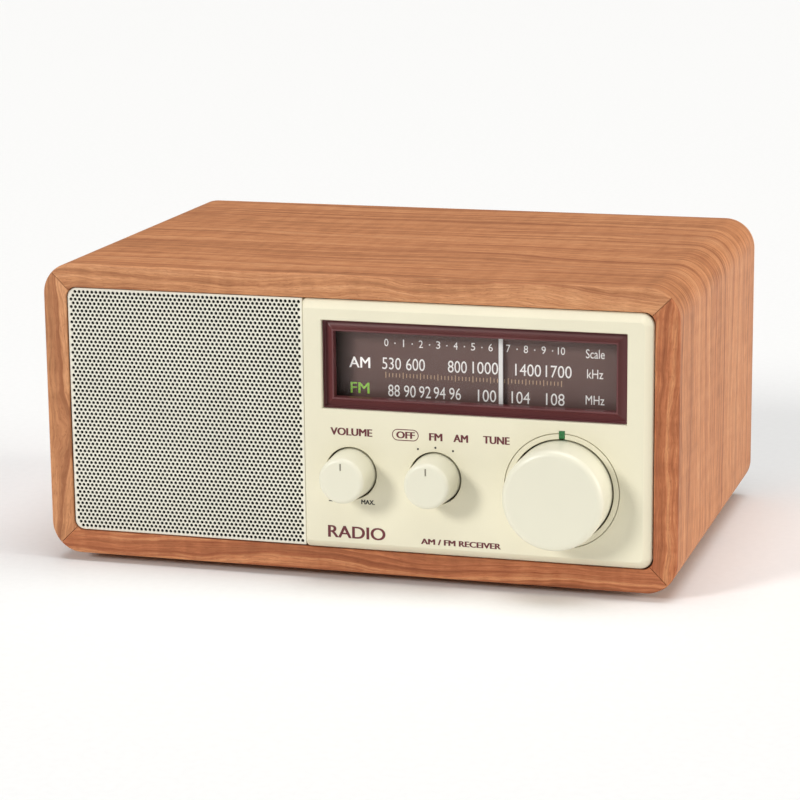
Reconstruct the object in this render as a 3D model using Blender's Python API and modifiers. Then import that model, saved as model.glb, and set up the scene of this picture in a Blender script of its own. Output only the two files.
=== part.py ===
"""A wooden tabletop radio with a dial, two small knobs and a large tuning knob.

All sizes are in millimetres. Cabinet coordinates run x across, y back from the front frame's face and z up
from the cabinet's underside. at() turns them into the model's own frame in metres, which has its origin
under the middle of the whole object, knobs and feet included.
"""

import math

import bmesh
import bpy
from mathutils import Matrix, Vector

MM = 0.001
GAP = 0.3

# Cabinet
CABINET_WIDTH = 240.0
CABINET_HEIGHT = 111.0
CABINET_DEPTH = 160.0
CABINET_RADIUS = 11.7
WALL = 8.8
OPENING_RADIUS = 4.0
FRAME_THICKNESS = 3.0
FOOT_HEIGHT = 3.0
FOOT_RADIUS = 7.0
FOOT_X = 95.0
FOOT_Y = (22.0, 138.0)

# Speaker side
GRILLE_LEFT = -110.9
GRILLE_RIGHT = -18.9
GRILLE_FRONT = 1.0
GRILLE_BACK = 2.0
SPEAKER_CENTRE = (-65.2, 55.5)
SPEAKER_HOLE = 36.0

# Front panel and dial
PANEL_LEFT = -18.6
PANEL_RIGHT = 110.8
PANEL_FACE = -2.3
PANEL_BACK = 2.7
PANEL_FILLET = 1.4
WINDOW = (-10.9, 101.8, 61.9, 94.7)
BEZEL_FACE = -0.6
BEZEL_BACK = 2.4
BEZEL_OPENING = (-6.7, 97.3, 65.7, 89.9)
LENS_FRONT = 2.7
LENS_THICKNESS = 1.0
PLATE_FRONT = 6.5
PLATE_THICKNESS = 1.2
BAFFLE_FRONT = 3.6
BAFFLE_BACK = 8.6

# Controls: centre of each knob on the panel
VOLUME_CENTRE = (-0.3, 38.3)
BAND_CENTRE = (31.5, 38.3)
TUNE_CENTRE = (78.3, 36.6)
SMALL_WELL = 9.82
TUNE_WELL = 18.98
SMALL_KNOB_FRONT = -15.0
TUNE_KNOB_FRONT = -18.0
KNOB_BACK = 0.6
SHAFT_RADIUS = 3.0
BORE_RADIUS = 3.3

# Dial drive: the cord runs in the plane DRIVE_Y, a clear distance outside each groove
DRIVE_Y = 29.0
CORD_RADIUS = 0.4
SHAFT_PITCH = 3.5
IDLER_PITCH = 4.0
IDLER_RIM = IDLER_PITCH + 0.7
DRUM_CENTRE = (46.0, 46.0)
REDUCTION = 6.0
DRUM_PITCH = SHAFT_PITCH * REDUCTION
IDLER_LEFT = (-2.0, 95.5)
IDLER_RIGHT = (100.0, 95.5)
DRIVE_PLATE_Y = 34.0
POINTER_X = 54.3
POINTER_Y = 4.5
RAIL = (12.0, 98.0)
# Openings, and the fixed parts inside
BASKET_REACH, BASKET_WINDOW = 45.0, 8.0
BASKET_FRONT, BASKET_REAR = 18.0, 29.0
DIAL_HOLE = (-12.0, 103.0, 60.5, 100.5)
DRIVE_PLATE_EDGES = (-14.5, 106.5, 14.0, 101.0)
WING_THICKNESS = 1.5
BOARD_EDGES = (-28.0, 104.0, 62.0, 140.0)
TUNER_LOW, TUNER_HIGH, TUNER_HEIGHT = (30.0, 72.0), (62.0, 96.0), 14.0
CORE_LEFT, CORE_RIGHT, CORE_HEIGHT = -106.0, -58.0, 34.0
CORE_FRONT, CORE_BACK = 100.0, 120.0
ROD_LEFT, ROD_RIGHT, ROD_Y, ROD_Z = -15.0, 85.0, 128.0, 86.0
ROD_RADIUS, ROD_BORE, COIL_RADIUS = 5.0, 5.3, 6.8
SCREW_HOLE = 1.8

REST_TURN = math.radians(715.0) / REDUCTION

# Rear
REAR_PANEL_FRONT = 154.0
REAR_PANEL_BACK = 157.0
BATTEN_FRONT = 146.0
BATTEN_WIDTH = 11.0
REAR_SCREWS = ((-105.0, 14.6), (105.0, 14.6), (-105.0, 96.4), (105.0, 96.4))
PORT_CENTRE = (-65.0, 64.0)
PORT_RADIUS = 14.0
INLET_CENTRE = (80.0, 31.0)
AERIAL_CENTRE = (20.0, 31.0)
JACK_CENTRE = (45.0, 31.0)

# The origin lies under the middle of the whole depth, from the tuning knob to the cabinet's rear edge.
MID_DEPTH = (CABINET_DEPTH + TUNE_KNOB_FRONT) / 2

ROUND_STEPS = 32
PARTS = "tabletop_radio"
CUTTERS = "cutters"


def at(x, y, z):
    """A point in cabinet coordinates, as a place in the model's frame."""
    return Vector((x, y - MID_DEPTH, z + FOOT_HEIGHT)) * MM


# ---------------------------------------------------------------- scene and materials


def clear_scene():
    for obj in list(bpy.data.objects):
        bpy.data.objects.remove(obj, do_unlink=True)
    for name in (PARTS, CUTTERS):
        collection = bpy.data.collections.new(name)
        bpy.context.scene.collection.children.link(collection)


def material(name, rgb, roughness, metallic=0.0):
    made = bpy.data.materials.get(name) or bpy.data.materials.new(name)
    made.use_nodes = True
    shader = made.node_tree.nodes["Principled BSDF"]
    shader.inputs["Base Color"].default_value = (*rgb, 1.0)
    shader.inputs["Roughness"].default_value = roughness
    shader.inputs["Metallic"].default_value = metallic
    return made


WOOD = ("cherry_veneer", (0.46, 0.19, 0.08), 0.45)
BOARD_WOOD = ("fibreboard", (0.42, 0.30, 0.18), 0.8)
CREAM_METAL = ("cream_painted_metal", (0.72, 0.68, 0.55), 0.5)
CREAM_PLASTIC = ("cream_plastic", (0.78, 0.74, 0.60), 0.4)
KNOB_PLASTIC = ("knob_plastic", (0.82, 0.79, 0.66), 0.4)
MAROON = ("maroon_plastic", (0.11, 0.02, 0.025), 0.35)
CLEAR = ("clear_acrylic", (0.9, 0.9, 0.9), 0.05)
DIAL_INK = ("dial_brown", (0.07, 0.05, 0.045), 0.5)
WHITE = ("white_plastic", (0.85, 0.84, 0.80), 0.4)
GREEN = ("green_lens", (0.03, 0.25, 0.06), 0.2)
BLACK = ("black_plastic", (0.02, 0.02, 0.02), 0.5)
CLOTH = ("black_cloth", (0.012, 0.012, 0.012), 0.95)
RUBBER = ("black_rubber", (0.02, 0.02, 0.02), 0.85)
STEEL = ("steel", (0.55, 0.55, 0.56), 0.35, 1.0)
BRASS = ("brass", (0.72, 0.53, 0.25), 0.35, 1.0)
ALUMINIUM = ("aluminium", (0.75, 0.76, 0.77), 0.4, 1.0)
PAPER = ("cone_paper", (0.06, 0.06, 0.06), 0.9)
BOARD_GREEN = ("circuit_board_green", (0.03, 0.16, 0.07), 0.45)
COPPER = ("copper_wire", (0.45, 0.16, 0.07), 0.35, 1.0)
FERRITE = ("ferrite", (0.05, 0.05, 0.055), 0.6)
CORD = ("dial_cord_fibre", (0.45, 0.42, 0.33), 0.85)


def keep(obj, look):
    """Files a finished sub-part under the radio's collection with its material and round shading."""
    bpy.data.collections[PARTS].objects.link(obj)
    obj.data.materials.clear()
    obj.data.materials.append(material(*look))
    if obj.type == "MESH":
        obj.data.shade_smooth()
        obj.data.set_sharp_from_angle(angle=math.radians(35))
    return obj


def keep_cutter(obj):
    bpy.data.collections[CUTTERS].objects.link(obj)
    obj.hide_render = True
    obj.display_type = "WIRE"
    return obj


def combine(obj, operation, others):
    for other in others:
        keep_cutter(other)
        boolean = obj.modifiers.new(other.name, "BOOLEAN")
        boolean.operation = operation
        boolean.object = other
        boolean.solver = "EXACT"
    return obj


def cut(obj, *cutters):
    return combine(obj, "DIFFERENCE", cutters)


def fuse(obj, *pieces):
    return combine(obj, "UNION", pieces)


# ---------------------------------------------------------------- outlines


def arc(cx, cy, radius, start, end, steps):
    """Points on an arc, angles in degrees, both ends included."""
    angles = [math.radians(start + (end - start) * i / steps) for i in range(steps + 1)]
    return [(cx + radius * math.cos(a), cy + radius * math.sin(a)) for a in angles]


def circle(centre, radius, steps=ROUND_STEPS):
    return arc(*centre, radius, 0, 360, steps)[:-1]


def rectangle(x0, x1, z0, z1, radius=0.0, steps=5, right_radius=None):
    """A rectangle's outline, with round corners where the radius isn't 0."""
    right = radius if right_radius is None else right_radius
    corners = ((x1, z0, -90, right), (x1, z1, 0, right), (x0, z1, 90, radius), (x0, z0, 180, radius))
    outline = []
    for x, z, start, r in corners:
        cx = x - r if x == x1 else x + r
        cz = z - r if z == z1 else z + r
        outline += arc(cx, cz, r, start, start + 90, steps) if r else [(x, z)]
    return outline


def cabinet_outline(inset, radius, steps=8):
    half = CABINET_WIDTH / 2 - inset
    return rectangle(-half, half, inset, CABINET_HEIGHT - inset, radius, steps)


# ---------------------------------------------------------------- solids

FACING = {
    "Y": (math.radians(90), 0.0, 0.0),
    "X": (math.radians(90), 0.0, math.radians(90)),
    "Z": (0.0, 0.0, 0.0),
}


def flat_solid(name, outlines, low, high, facing="Y"):
    """A plate: the first outline is its edge and the others are holes. It runs from low to high along its
    facing axis. Outlines are (x, z) pairs facing Y, (y, z) pairs facing X and (x, y) pairs facing Z."""
    curve = bpy.data.curves.new(name, "CURVE")
    curve.dimensions = "2D"
    curve.fill_mode = "BOTH"
    curve.extrude = (high - low) / 2 * MM
    for outline in outlines:
        spline = curve.splines.new("POLY")
        spline.points.add(len(outline) - 1)
        for point, (u, v) in zip(spline.points, outline):
            point.co = (u * MM, v * MM, 0.0, 1.0)
        spline.use_cyclic_u = True
    middle = (low + high) / 2
    place = {"Y": (0, middle, 0), "X": (middle, 0, 0), "Z": (0, 0, middle)}[facing]
    return mesh_from_curve(name, curve, at(*place), FACING[facing])


def mesh_from_curve(name, curve, location, rotation):
    guide = bpy.data.objects.new(name + "_outline", curve)
    guide.location = location
    guide.rotation_euler = rotation
    bpy.context.scene.collection.objects.link(guide)
    bpy.context.view_layer.update()
    graph = bpy.context.evaluated_depsgraph_get()
    mesh = bpy.data.meshes.new_from_object(guide.evaluated_get(graph))
    mesh.name = name
    weld_mesh(mesh)
    made = bpy.data.objects.new(name, mesh)
    made.matrix_world = guide.matrix_world
    bpy.data.objects.remove(guide, do_unlink=True)
    return made


def weld_mesh(mesh):
    edit = bmesh.new()
    edit.from_mesh(mesh)
    bmesh.ops.remove_doubles(edit, verts=edit.verts, dist=1e-6)
    bmesh.ops.recalc_face_normals(edit, faces=edit.faces)
    edit.to_mesh(mesh)
    edit.free()


def block(name, low, high):
    """A box between two corners in cabinet coordinates."""
    edit = bmesh.new()
    bmesh.ops.create_cube(edit, size=1.0)
    size = [(b - a) * MM for a, b in zip(low, high)]
    bmesh.ops.scale(edit, vec=size, verts=edit.verts)
    mesh = bpy.data.meshes.new(name)
    edit.to_mesh(mesh)
    edit.free()
    made = bpy.data.objects.new(name, mesh)
    made.location = at(*[(a + b) / 2 for a, b in zip(low, high)])
    return made


def rod(name, start, end, radius, steps=20):
    """A cylinder between two points in cabinet coordinates."""
    first, last = at(*start), at(*end)
    edit = bmesh.new()
    bmesh.ops.create_cone(
        edit,
        cap_ends=True,
        segments=steps,
        radius1=radius * MM,
        radius2=radius * MM,
        depth=(last - first).length,
    )
    mesh = bpy.data.meshes.new(name)
    edit.to_mesh(mesh)
    edit.free()
    made = bpy.data.objects.new(name, mesh)
    made.rotation_euler = (last - first).to_track_quat("Z", "Y").to_euler()
    made.location = (first + last) / 2
    return made


def turned(name, profile, centre, ring=False, steps=ROUND_STEPS):
    """A shape turned about a front-to-back axis through centre, from (radius, y) points. The profile runs
    outwards over the front, down the outer side and back over the rear. A ring's profile closes on itself."""
    mesh = bpy.data.meshes.new(name)
    points = [(radius * MM, 0.0, -y * MM) for radius, y in profile]
    edges = [(i, i + 1) for i in range(len(points) - 1)]
    if ring:
        edges.append((len(points) - 1, 0))
    mesh.from_pydata(points, edges, [])
    made = bpy.data.objects.new(name, mesh)
    made.location = at(centre[0], 0.0, centre[1])
    made.rotation_euler = FACING["Y"]
    screw = made.modifiers.new("turn", "SCREW")
    screw.axis = "Z"
    screw.steps = steps
    screw.render_steps = steps
    screw.use_merge_vertices = True
    screw.merge_threshold = 1e-6
    screw.use_smooth_shade = True
    return made


def pivot(name, x, y, z):
    """An empty on a joint's axis, for the pieces that move there."""
    empty = bpy.data.objects.new(name, None)
    empty.location = at(x, y, z)
    empty.empty_display_size = 0.01
    bpy.data.collections[PARTS].objects.link(empty)
    bpy.context.view_layer.update()
    return empty


def hang_on(empty, *pieces):
    bpy.context.view_layer.update()
    for piece in pieces:
        piece.parent = empty
        piece.matrix_parent_inverse = empty.matrix_world.inverted()


# ---------------------------------------------------------------- cabinet


def cabinet_shell():
    outlines = [cabinet_outline(0.0, CABINET_RADIUS), cabinet_outline(WALL, OPENING_RADIUS, 4)]
    shell = flat_solid("cabinet_shell", outlines, FRAME_THICKNESS + GAP, CABINET_DEPTH)
    keep(shell, WOOD)


def strip_outline(length, turn):
    """One mitred strip of the front frame. It lies along the top of a frame of this length, and is then
    turned about the frame's middle. Each mitre stands half a gap back from the corner's diagonal."""
    half = length / 2
    outer_slip = math.degrees(math.asin(GAP / 2 / CABINET_RADIUS))
    inner_slip = math.degrees(math.asin(GAP / 2 / OPENING_RADIUS))
    outer = half - CABINET_RADIUS
    inner = half - WALL - OPENING_RADIUS
    below = -WALL - OPENING_RADIUS
    outline = arc(outer, -CABINET_RADIUS, CABINET_RADIUS, 45 + outer_slip, 90, 4)
    outline += arc(-outer, -CABINET_RADIUS, CABINET_RADIUS, 90, 135 - outer_slip, 4)
    outline += arc(-inner, below, OPENING_RADIUS, 135 - inner_slip, 90, 3)
    outline += arc(inner, below, OPENING_RADIUS, 90, 45 + inner_slip, 3)
    across = CABINET_HEIGHT if length == CABINET_WIDTH else CABINET_WIDTH
    turned_points = []
    for s, t in outline:
        point = Matrix.Rotation(math.radians(turn), 2) @ Vector((s, t + across / 2))
        turned_points.append((point.x, point.y + CABINET_HEIGHT / 2))
    return turned_points


def front_frame():
    sides = (
        ("front_frame_top", CABINET_WIDTH, 0),
        ("front_frame_left", CABINET_HEIGHT, 90),
        ("front_frame_bottom", CABINET_WIDTH, 180),
        ("front_frame_right", CABINET_HEIGHT, 270),
    )
    for name, length, turn in sides:
        keep(flat_solid(name, [strip_outline(length, turn)], 0.0, FRAME_THICKNESS), WOOD)


def feet():
    number = 0
    for y in FOOT_Y:
        for x in (-FOOT_X, FOOT_X):
            number += 1
            foot = rod(f"rubber_foot_{number}", (x, y, -FOOT_HEIGHT), (x, y, -GAP), FOOT_RADIUS)
            keep(foot, RUBBER)


# ---------------------------------------------------------------- speaker side


def grille():
    low = WALL + GAP
    high = CABINET_HEIGHT - WALL - GAP
    corner = OPENING_RADIUS - GAP
    sheet = rectangle(GRILLE_LEFT, GRILLE_RIGHT, low, high, corner, 4, right_radius=0.0)
    keep(flat_solid("speaker_grille", [sheet], GRILLE_FRONT, GRILLE_BACK), CREAM_METAL)
    inset = 0.5
    left, right = GRILLE_LEFT + inset, GRILLE_RIGHT - inset
    cloth = rectangle(left, right, low + inset, high - inset, corner, 4, right_radius=0.0)
    keep(flat_solid("grille_cloth", [cloth], GRILLE_BACK + GAP, GRILLE_BACK + 0.9), CLOTH)


def baffle():
    board = cabinet_outline(WALL + GAP, OPENING_RADIUS - GAP, 4)
    holes = [
        circle(SPEAKER_CENTRE, SPEAKER_HOLE),
        circle(VOLUME_CENTRE, 4.8, 16),
        circle(BAND_CENTRE, 4.8, 16),
        circle(TUNE_CENTRE, 4.5, 16),
        rectangle(*DIAL_HOLE, 1.0, 2),
    ]
    keep(flat_solid("baffle_board", [board, *holes], BAFFLE_FRONT, BAFFLE_BACK), BOARD_WOOD)


def basket():
    profile = [
        (39.0, 8.9),
        (43.5, 8.9),
        (43.5, 10.6),
        (40.2, 10.6),
        (40.2, 15.0),
        (24.0, 34.0),
        (12.5, 34.0),
        (12.5, 32.8),
        (23.2, 32.8),
        (39.0, 15.0),
    ]
    frame = turned("speaker_basket", profile, SPEAKER_CENTRE, ring=True)
    x, z = SPEAKER_CENTRE
    reach, half = BASKET_REACH, BASKET_WINDOW
    near, far = BASKET_FRONT, BASKET_REAR
    wide = block("basket_windows_wide", (x - reach, near, z - half), (x + reach, far, z + half))
    tall = block("basket_windows_tall", (x - half, near, z - reach), (x + half, far, z + reach))
    keep(cut(frame, wide, tall), STEEL)


def magnet():
    profile = [
        (0.0, 31.0),
        (8.8, 31.0),
        (8.8, 46.0),
        (11.2, 46.0),
        (11.2, 34.4),
        (28.0, 34.4),
        (28.0, 50.0),
        (0.0, 50.0),
    ]
    keep(turned("speaker_magnet", profile, SPEAKER_CENTRE), FERRITE)


def cone_assembly():
    cone = [
        (9.5, 24.5),
        (33.6, 12.0),
        (34.0, 12.9),
        (10.5, 25.5),
        (10.5, 44.0),
        (9.5, 44.0),
    ]
    cap = arc(0.0, 30.0, 13.0, -90, -32, 5) + arc(0.0, 30.0, 12.3, -32, -90, 5)
    cap = [(max(radius, 0.0), y) for radius, y in cap]
    roll = arc(36.5, 12.6, 2.1, 180, 360, 6) + arc(36.5, 12.6, 1.5, 360, 180, 6)
    pieces = (
        keep(turned("speaker_cone", cone, SPEAKER_CENTRE, ring=True), PAPER),
        keep(turned("dust_cap", cap, SPEAKER_CENTRE), PAPER),
        keep(turned("speaker_surround", roll, SPEAKER_CENTRE, ring=True), RUBBER),
    )
    hang_on(pivot("cone_axis", SPEAKER_CENTRE[0], 24.5, SPEAKER_CENTRE[1]), *pieces)


# ---------------------------------------------------------------- front panel and dial


def rounded_panel():
    """The panel's body: tight corners beside the grille, wider ones beside the frame, a rounded front rim."""
    low = (PANEL_LEFT, PANEL_FACE, WALL + GAP)
    high = (PANEL_RIGHT, PANEL_BACK, CABINET_HEIGHT - WALL - GAP)
    panel = block("front_panel", low, high)
    edit = bmesh.new()
    edit.from_mesh(panel.data)
    for side, radius in ((1, 4.5), (-1, 1.5)):
        corners = [
            e
            for e in edit.edges
            if abs((e.verts[0].co - e.verts[1].co).normalized().y) > 0.9 and e.verts[0].co.x * side > 0
        ]
        bmesh.ops.bevel(edit, geom=corners, offset=radius * MM, segments=5, profile=0.5, affect="EDGES")
    front = min(v.co.y for v in edit.verts)
    rim = [e for e in edit.edges if all(v.co.y < front + 1e-6 for v in e.verts)]
    bmesh.ops.bevel(edit, geom=rim, offset=PANEL_FILLET * MM, segments=3, profile=0.5, affect="EDGES")
    edit.to_mesh(panel.data)
    edit.free()
    return panel


def well_cutter(name, centre, radius):
    x, z = centre
    return rod(name, (x, PANEL_FACE - 5, z), (x, PANEL_BACK + 5, z), radius, 40)


def front_panel():
    x0, x1, z0, z1 = WINDOW
    cutters = (
        block("window_cutter", (x0, PANEL_FACE - 5, z0), (x1, PANEL_BACK + 5, z1)),
        well_cutter("volume_well", VOLUME_CENTRE, SMALL_WELL),
        well_cutter("band_well", BAND_CENTRE, SMALL_WELL),
        well_cutter("tune_well", TUNE_CENTRE, TUNE_WELL),
        block("lamp_slot", (77.1, PANEL_FACE - 5, 54.0), (79.7, PANEL_BACK + 5, 58.9)),
    )
    keep(cut(rounded_panel(), *cutters), CREAM_PLASTIC)
    keep(block("tuning_lamp", (77.4, PANEL_FACE, 55.8), (79.4, PANEL_BACK, 58.6)), GREEN)


def dial():
    x0, x1, z0, z1 = WINDOW
    rim = rectangle(x0 + GAP, x1 - GAP, z0 + GAP, z1 - GAP)
    keep(flat_solid("dial_bezel", [rim, rectangle(*BEZEL_OPENING)], BEZEL_FACE, BEZEL_BACK), MAROON)
    lens = block(
        "dial_lens",
        (x0 + 2, LENS_FRONT, z0 + 2),
        (x1 - 2, LENS_FRONT + LENS_THICKNESS, z1 - 2),
    )
    keep(lens, CLEAR)
    plate = block(
        "dial_plate",
        (x0 - 0.6, PLATE_FRONT, z0 - 0.6),
        (x1 + 0.6, PLATE_FRONT + PLATE_THICKNESS, z1 - 1.7),
    )
    keep(plate, DIAL_INK)
    lamp_front = PLATE_FRONT + PLATE_THICKNESS + GAP
    lamp = block("dial_lamp", (x0 + 4, lamp_front, 75.0), (x1 - 4, lamp_front + 1.6, 79.0))
    keep(lamp, WHITE)


# ---------------------------------------------------------------- knobs and controls


def knob_profile(front, back_radius, front_radius, edge, wall, hub):
    """A hollow knob: rounded front edge, tapered side, and a hub with a blind bore for the shaft."""
    profile = [(0.0, front)]
    profile += arc(front_radius - edge, front + edge, edge, -90, 0, 4)
    profile += [
        (back_radius, KNOB_BACK),
        (back_radius - wall, KNOB_BACK),
        (front_radius - wall, front + 4.0),
        (hub, front + 4.0),
        (hub, -0.6),
        (BORE_RADIUS, -0.6),
        (BORE_RADIUS, front + 2.5),
        (0.0, front + 2.5),
    ]
    return profile


def shaft_and_knob(name, centre, profile, shaft_name, shaft_profile):
    knob = keep(turned(name + "_knob", profile, centre), KNOB_PLASTIC)
    shaft = keep(turned(shaft_name, shaft_profile, centre, steps=20), STEEL)
    hang_on(pivot(name + "_axis", centre[0], 0.0, centre[1]), knob, shaft)


def control_body(name, centre, rear, look):
    """A switch or potentiometer: a round can with a bushing that passes through the baffle."""
    profile = [
        (0.0, 14.0),
        (BORE_RADIUS, 14.0),
        (BORE_RADIUS, 1.4),
        (4.5, 1.4),
        (4.5, BAFFLE_BACK + GAP),
        (12.0, BAFFLE_BACK + GAP),
        (12.0, rear),
        (0.0, rear),
    ]
    keep(turned(name, profile, centre, steps=24), look)


def controls():
    small = knob_profile(SMALL_KNOB_FRONT, 9.45, 8.5, 1.4, 1.8, 5.0)
    stub = [(0.0, -12.0), (SHAFT_RADIUS, -12.0), (SHAFT_RADIUS, 13.6), (0.0, 13.6)]
    shaft_and_knob("volume", VOLUME_CENTRE, small, "volume_shaft", stub)
    shaft_and_knob("band", BAND_CENTRE, small, "band_shaft", stub)
    control_body("volume_potentiometer", VOLUME_CENTRE, 18.0, ALUMINIUM)
    control_body("band_switch", BAND_CENTRE, 22.0, BLACK)

    large = knob_profile(TUNE_KNOB_FRONT, 18.55, 18.4, 1.7, 2.0, 7.0)
    groove = SHAFT_PITCH - CORD_RADIUS - GAP
    spindle = [
        (0.0, TUNE_KNOB_FRONT + 3.0),
        (SHAFT_RADIUS, TUNE_KNOB_FRONT + 3.0),
        (SHAFT_RADIUS, DRIVE_Y - 1.4),
        (groove, DRIVE_Y - 1.2),
        (groove, DRIVE_Y + 1.2),
        (SHAFT_RADIUS, DRIVE_Y + 1.4),
        (SHAFT_RADIUS, DRIVE_PLATE_Y + 4.0),
        (0.0, DRIVE_PLATE_Y + 4.0),
    ]
    shaft_and_knob("tune", TUNE_CENTRE, large, "tuning_shaft", spindle)


# ---------------------------------------------------------------- dial drive


def drive_plate():
    """The steel plate behind the controls, with the two wings that hold the rail and the two idler posts."""
    outline = rectangle(*DRIVE_PLATE_EDGES)
    holes = [circle(TUNE_CENTRE, BORE_RADIUS, 16), circle(DRUM_CENTRE, BORE_RADIUS, 16)]
    plate = flat_solid("drive_plate", [outline, *holes], DRIVE_PLATE_Y, DRIVE_PLATE_Y + 1.5)
    pieces = []
    for side, x in (("left", DRIVE_PLATE_EDGES[0]), ("right", DRIVE_PLATE_EDGES[1] - WING_THICKNESS)):
        wing = rectangle(9.2, DRIVE_PLATE_Y + 1.0, 90.0, DRIVE_PLATE_EDGES[3])
        hole = circle(RAIL, 1.3, 12)
        pieces.append(flat_solid(f"wing_{side}", [wing, hole], x, x + WING_THICKNESS, facing="X"))
    for side, (x, z) in (("left", IDLER_LEFT), ("right", IDLER_RIGHT)):
        post = rod(f"post_{side}", (x, DRIVE_Y - 3.0, z), (x, DRIVE_PLATE_Y + 1.0, z), 1.2, 12)
        pieces.append(post)
    keep(fuse(plate, *pieces), STEEL)


def pulley_profile(pitch, rim, half_width, bore):
    groove = pitch - CORD_RADIUS - GAP
    front = DRIVE_Y - half_width
    back = DRIVE_Y + half_width
    return [
        (bore, front),
        (rim, front),
        (rim, DRIVE_Y - 1.4),
        (groove, DRIVE_Y - 1.0),
        (groove, DRIVE_Y + 1.0),
        (rim, DRIVE_Y + 1.4),
        (rim, back),
        (bore, back),
    ]


def pulleys():
    for side, centre in (("left", IDLER_LEFT), ("right", IDLER_RIGHT)):
        profile = pulley_profile(IDLER_PITCH, IDLER_RIM, 2.2, 1.5)
        idler = keep(turned(f"idler_{side}", profile, centre, ring=True, steps=20), WHITE)
        hang_on(pivot(f"idler_{side}_axis", centre[0], DRIVE_Y, centre[1]), idler)
    profile = pulley_profile(DRUM_PITCH, DRUM_PITCH + 1.2, 2.4, BORE_RADIUS)
    return keep(turned("drive_drum", profile, DRUM_CENTRE, ring=True), WHITE)


def belt_route(circles, step=11.0):
    """Points of a belt round these (centre, radius) circles, listed clockwise as seen from the front."""
    leave = []
    for i, (centre, radius) in enumerate(circles):
        other, other_radius = circles[(i + 1) % len(circles)]
        along = Vector(other) - Vector(centre)
        lean = (radius - other_radius) / along.length
        along.normalize()
        left = Vector((-along.y, along.x))
        normal = along * lean + left * math.sqrt(1 - lean * lean)
        leave.append(math.degrees(math.atan2(normal.y, normal.x)))
    route = []
    for i, (centre, radius) in enumerate(circles):
        start = leave[i - 1]
        turn = (start - leave[i]) % 360
        route += arc(*centre, radius, start, start - turn, max(2, round(turn / step)))
    return route


def dial_cord():
    circles = (
        (IDLER_LEFT, IDLER_PITCH),
        (IDLER_RIGHT, IDLER_PITCH),
        (TUNE_CENTRE, SHAFT_PITCH),
        (DRUM_CENTRE, DRUM_PITCH),
    )
    route = belt_route(circles)
    curve = bpy.data.curves.new("dial_cord", "CURVE")
    curve.dimensions = "3D"
    curve.bevel_depth = CORD_RADIUS * MM
    curve.bevel_resolution = 1
    spline = curve.splines.new("POLY")
    spline.points.add(len(route) - 1)
    for point, (x, z) in zip(spline.points, route):
        point.co = (*at(x, DRIVE_Y, z), 1.0)
    spline.use_cyclic_u = True
    keep(bpy.data.objects.new("dial_cord", curve), CORD)


def pointer():
    """The needle stands in front of the dial plate, and its arm runs back over the plate to the carriage."""
    needle = [
        (POINTER_Y, 62.8),
        (POINTER_Y + 0.8, 62.8),
        (POINTER_Y + 0.8, 94.4),
        (15.0, 94.4),
        (15.0, 95.6),
        (POINTER_Y, 95.6),
    ]
    blade = flat_solid("pointer", [needle], POINTER_X - 0.75, POINTER_X + 0.75, facing="X")
    outline = rectangle(9.5, 28.2, 96.0, 99.9)
    hole = circle(RAIL, 1.3, 12)
    carriage = flat_solid(
        "pointer_carriage", [outline, hole], POINTER_X - 5.0, POINTER_X + 5.0, facing="X"
    )
    hang_on(pivot("pointer_slide", POINTER_X, *RAIL), keep(blade, WHITE), keep(carriage, BLACK))
    y, z = RAIL
    keep(rod("pointer_rail", (-15.5, y, z), (107.5, y, z), 1.0, 12), STEEL)


def half_disc(name, y, inner, outer, middle, half_angle=90.0):
    """A capacitor vane: a sector about the drum's axis, round the direction middle, 0.8 mm thick."""
    start, end = middle - half_angle, middle + half_angle
    outline = arc(*DRUM_CENTRE, outer, start, end, 12)
    outline += arc(*DRUM_CENTRE, inner, end, start, 8)
    return flat_solid(name, [outline], y, y + 0.8)


def tuning_capacitor(drum):
    x, z = DRUM_CENTRE
    front, back, pitch = DRIVE_PLATE_Y + 3.0, DRIVE_PLATE_Y + 22.0, 3.2
    first = front + 3.2

    rotor = rod("capacitor_rotor", (x, DRIVE_Y - 3.4, z), (x, back + 2.5, z), SHAFT_RADIUS)
    # Fully meshed, the vanes point up; at rest the drum has turned clockwise by REST_TURN.
    middle = 90.0 - math.degrees(REST_TURN)
    vanes = [half_disc(f"rotor_vane_{i}", first + i * pitch, 1.5, 13.0, middle) for i in range(4)]
    keep(fuse(rotor, *vanes), ALUMINIUM)
    hang_on(pivot("drum_axis", x, DRIVE_Y, z), drum, rotor)

    bar = block("capacitor_stator", (x - 5, first, z + 14.2), (x + 5, first + 11.5, z + 16.2))
    plates = [
        half_disc(f"stator_vane_{i}", first + (i + 0.5) * pitch, 4.4, 15.0, 90.0, 84.0)
        for i in range(3)
    ]
    keep(fuse(bar, *plates), ALUMINIUM)

    channel = [
        (front, z - 17),
        (back, z - 17),
        (back, z + 13.5),
        (back - 1.2, z + 13.5),
        (back - 1.2, z - 15.8),
        (front + 1.2, z - 15.8),
        (front + 1.2, z + 13.5),
        (front, z + 13.5),
    ]
    frame = flat_solid("capacitor_frame", [channel], x - 15, x + 15, facing="X")
    bearing = rod("bearing_hole", (x, front - 3, z), (x, back + 3, z), BORE_RADIUS)
    keep(cut(frame, bearing), STEEL)


# ---------------------------------------------------------------- electronics


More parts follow.
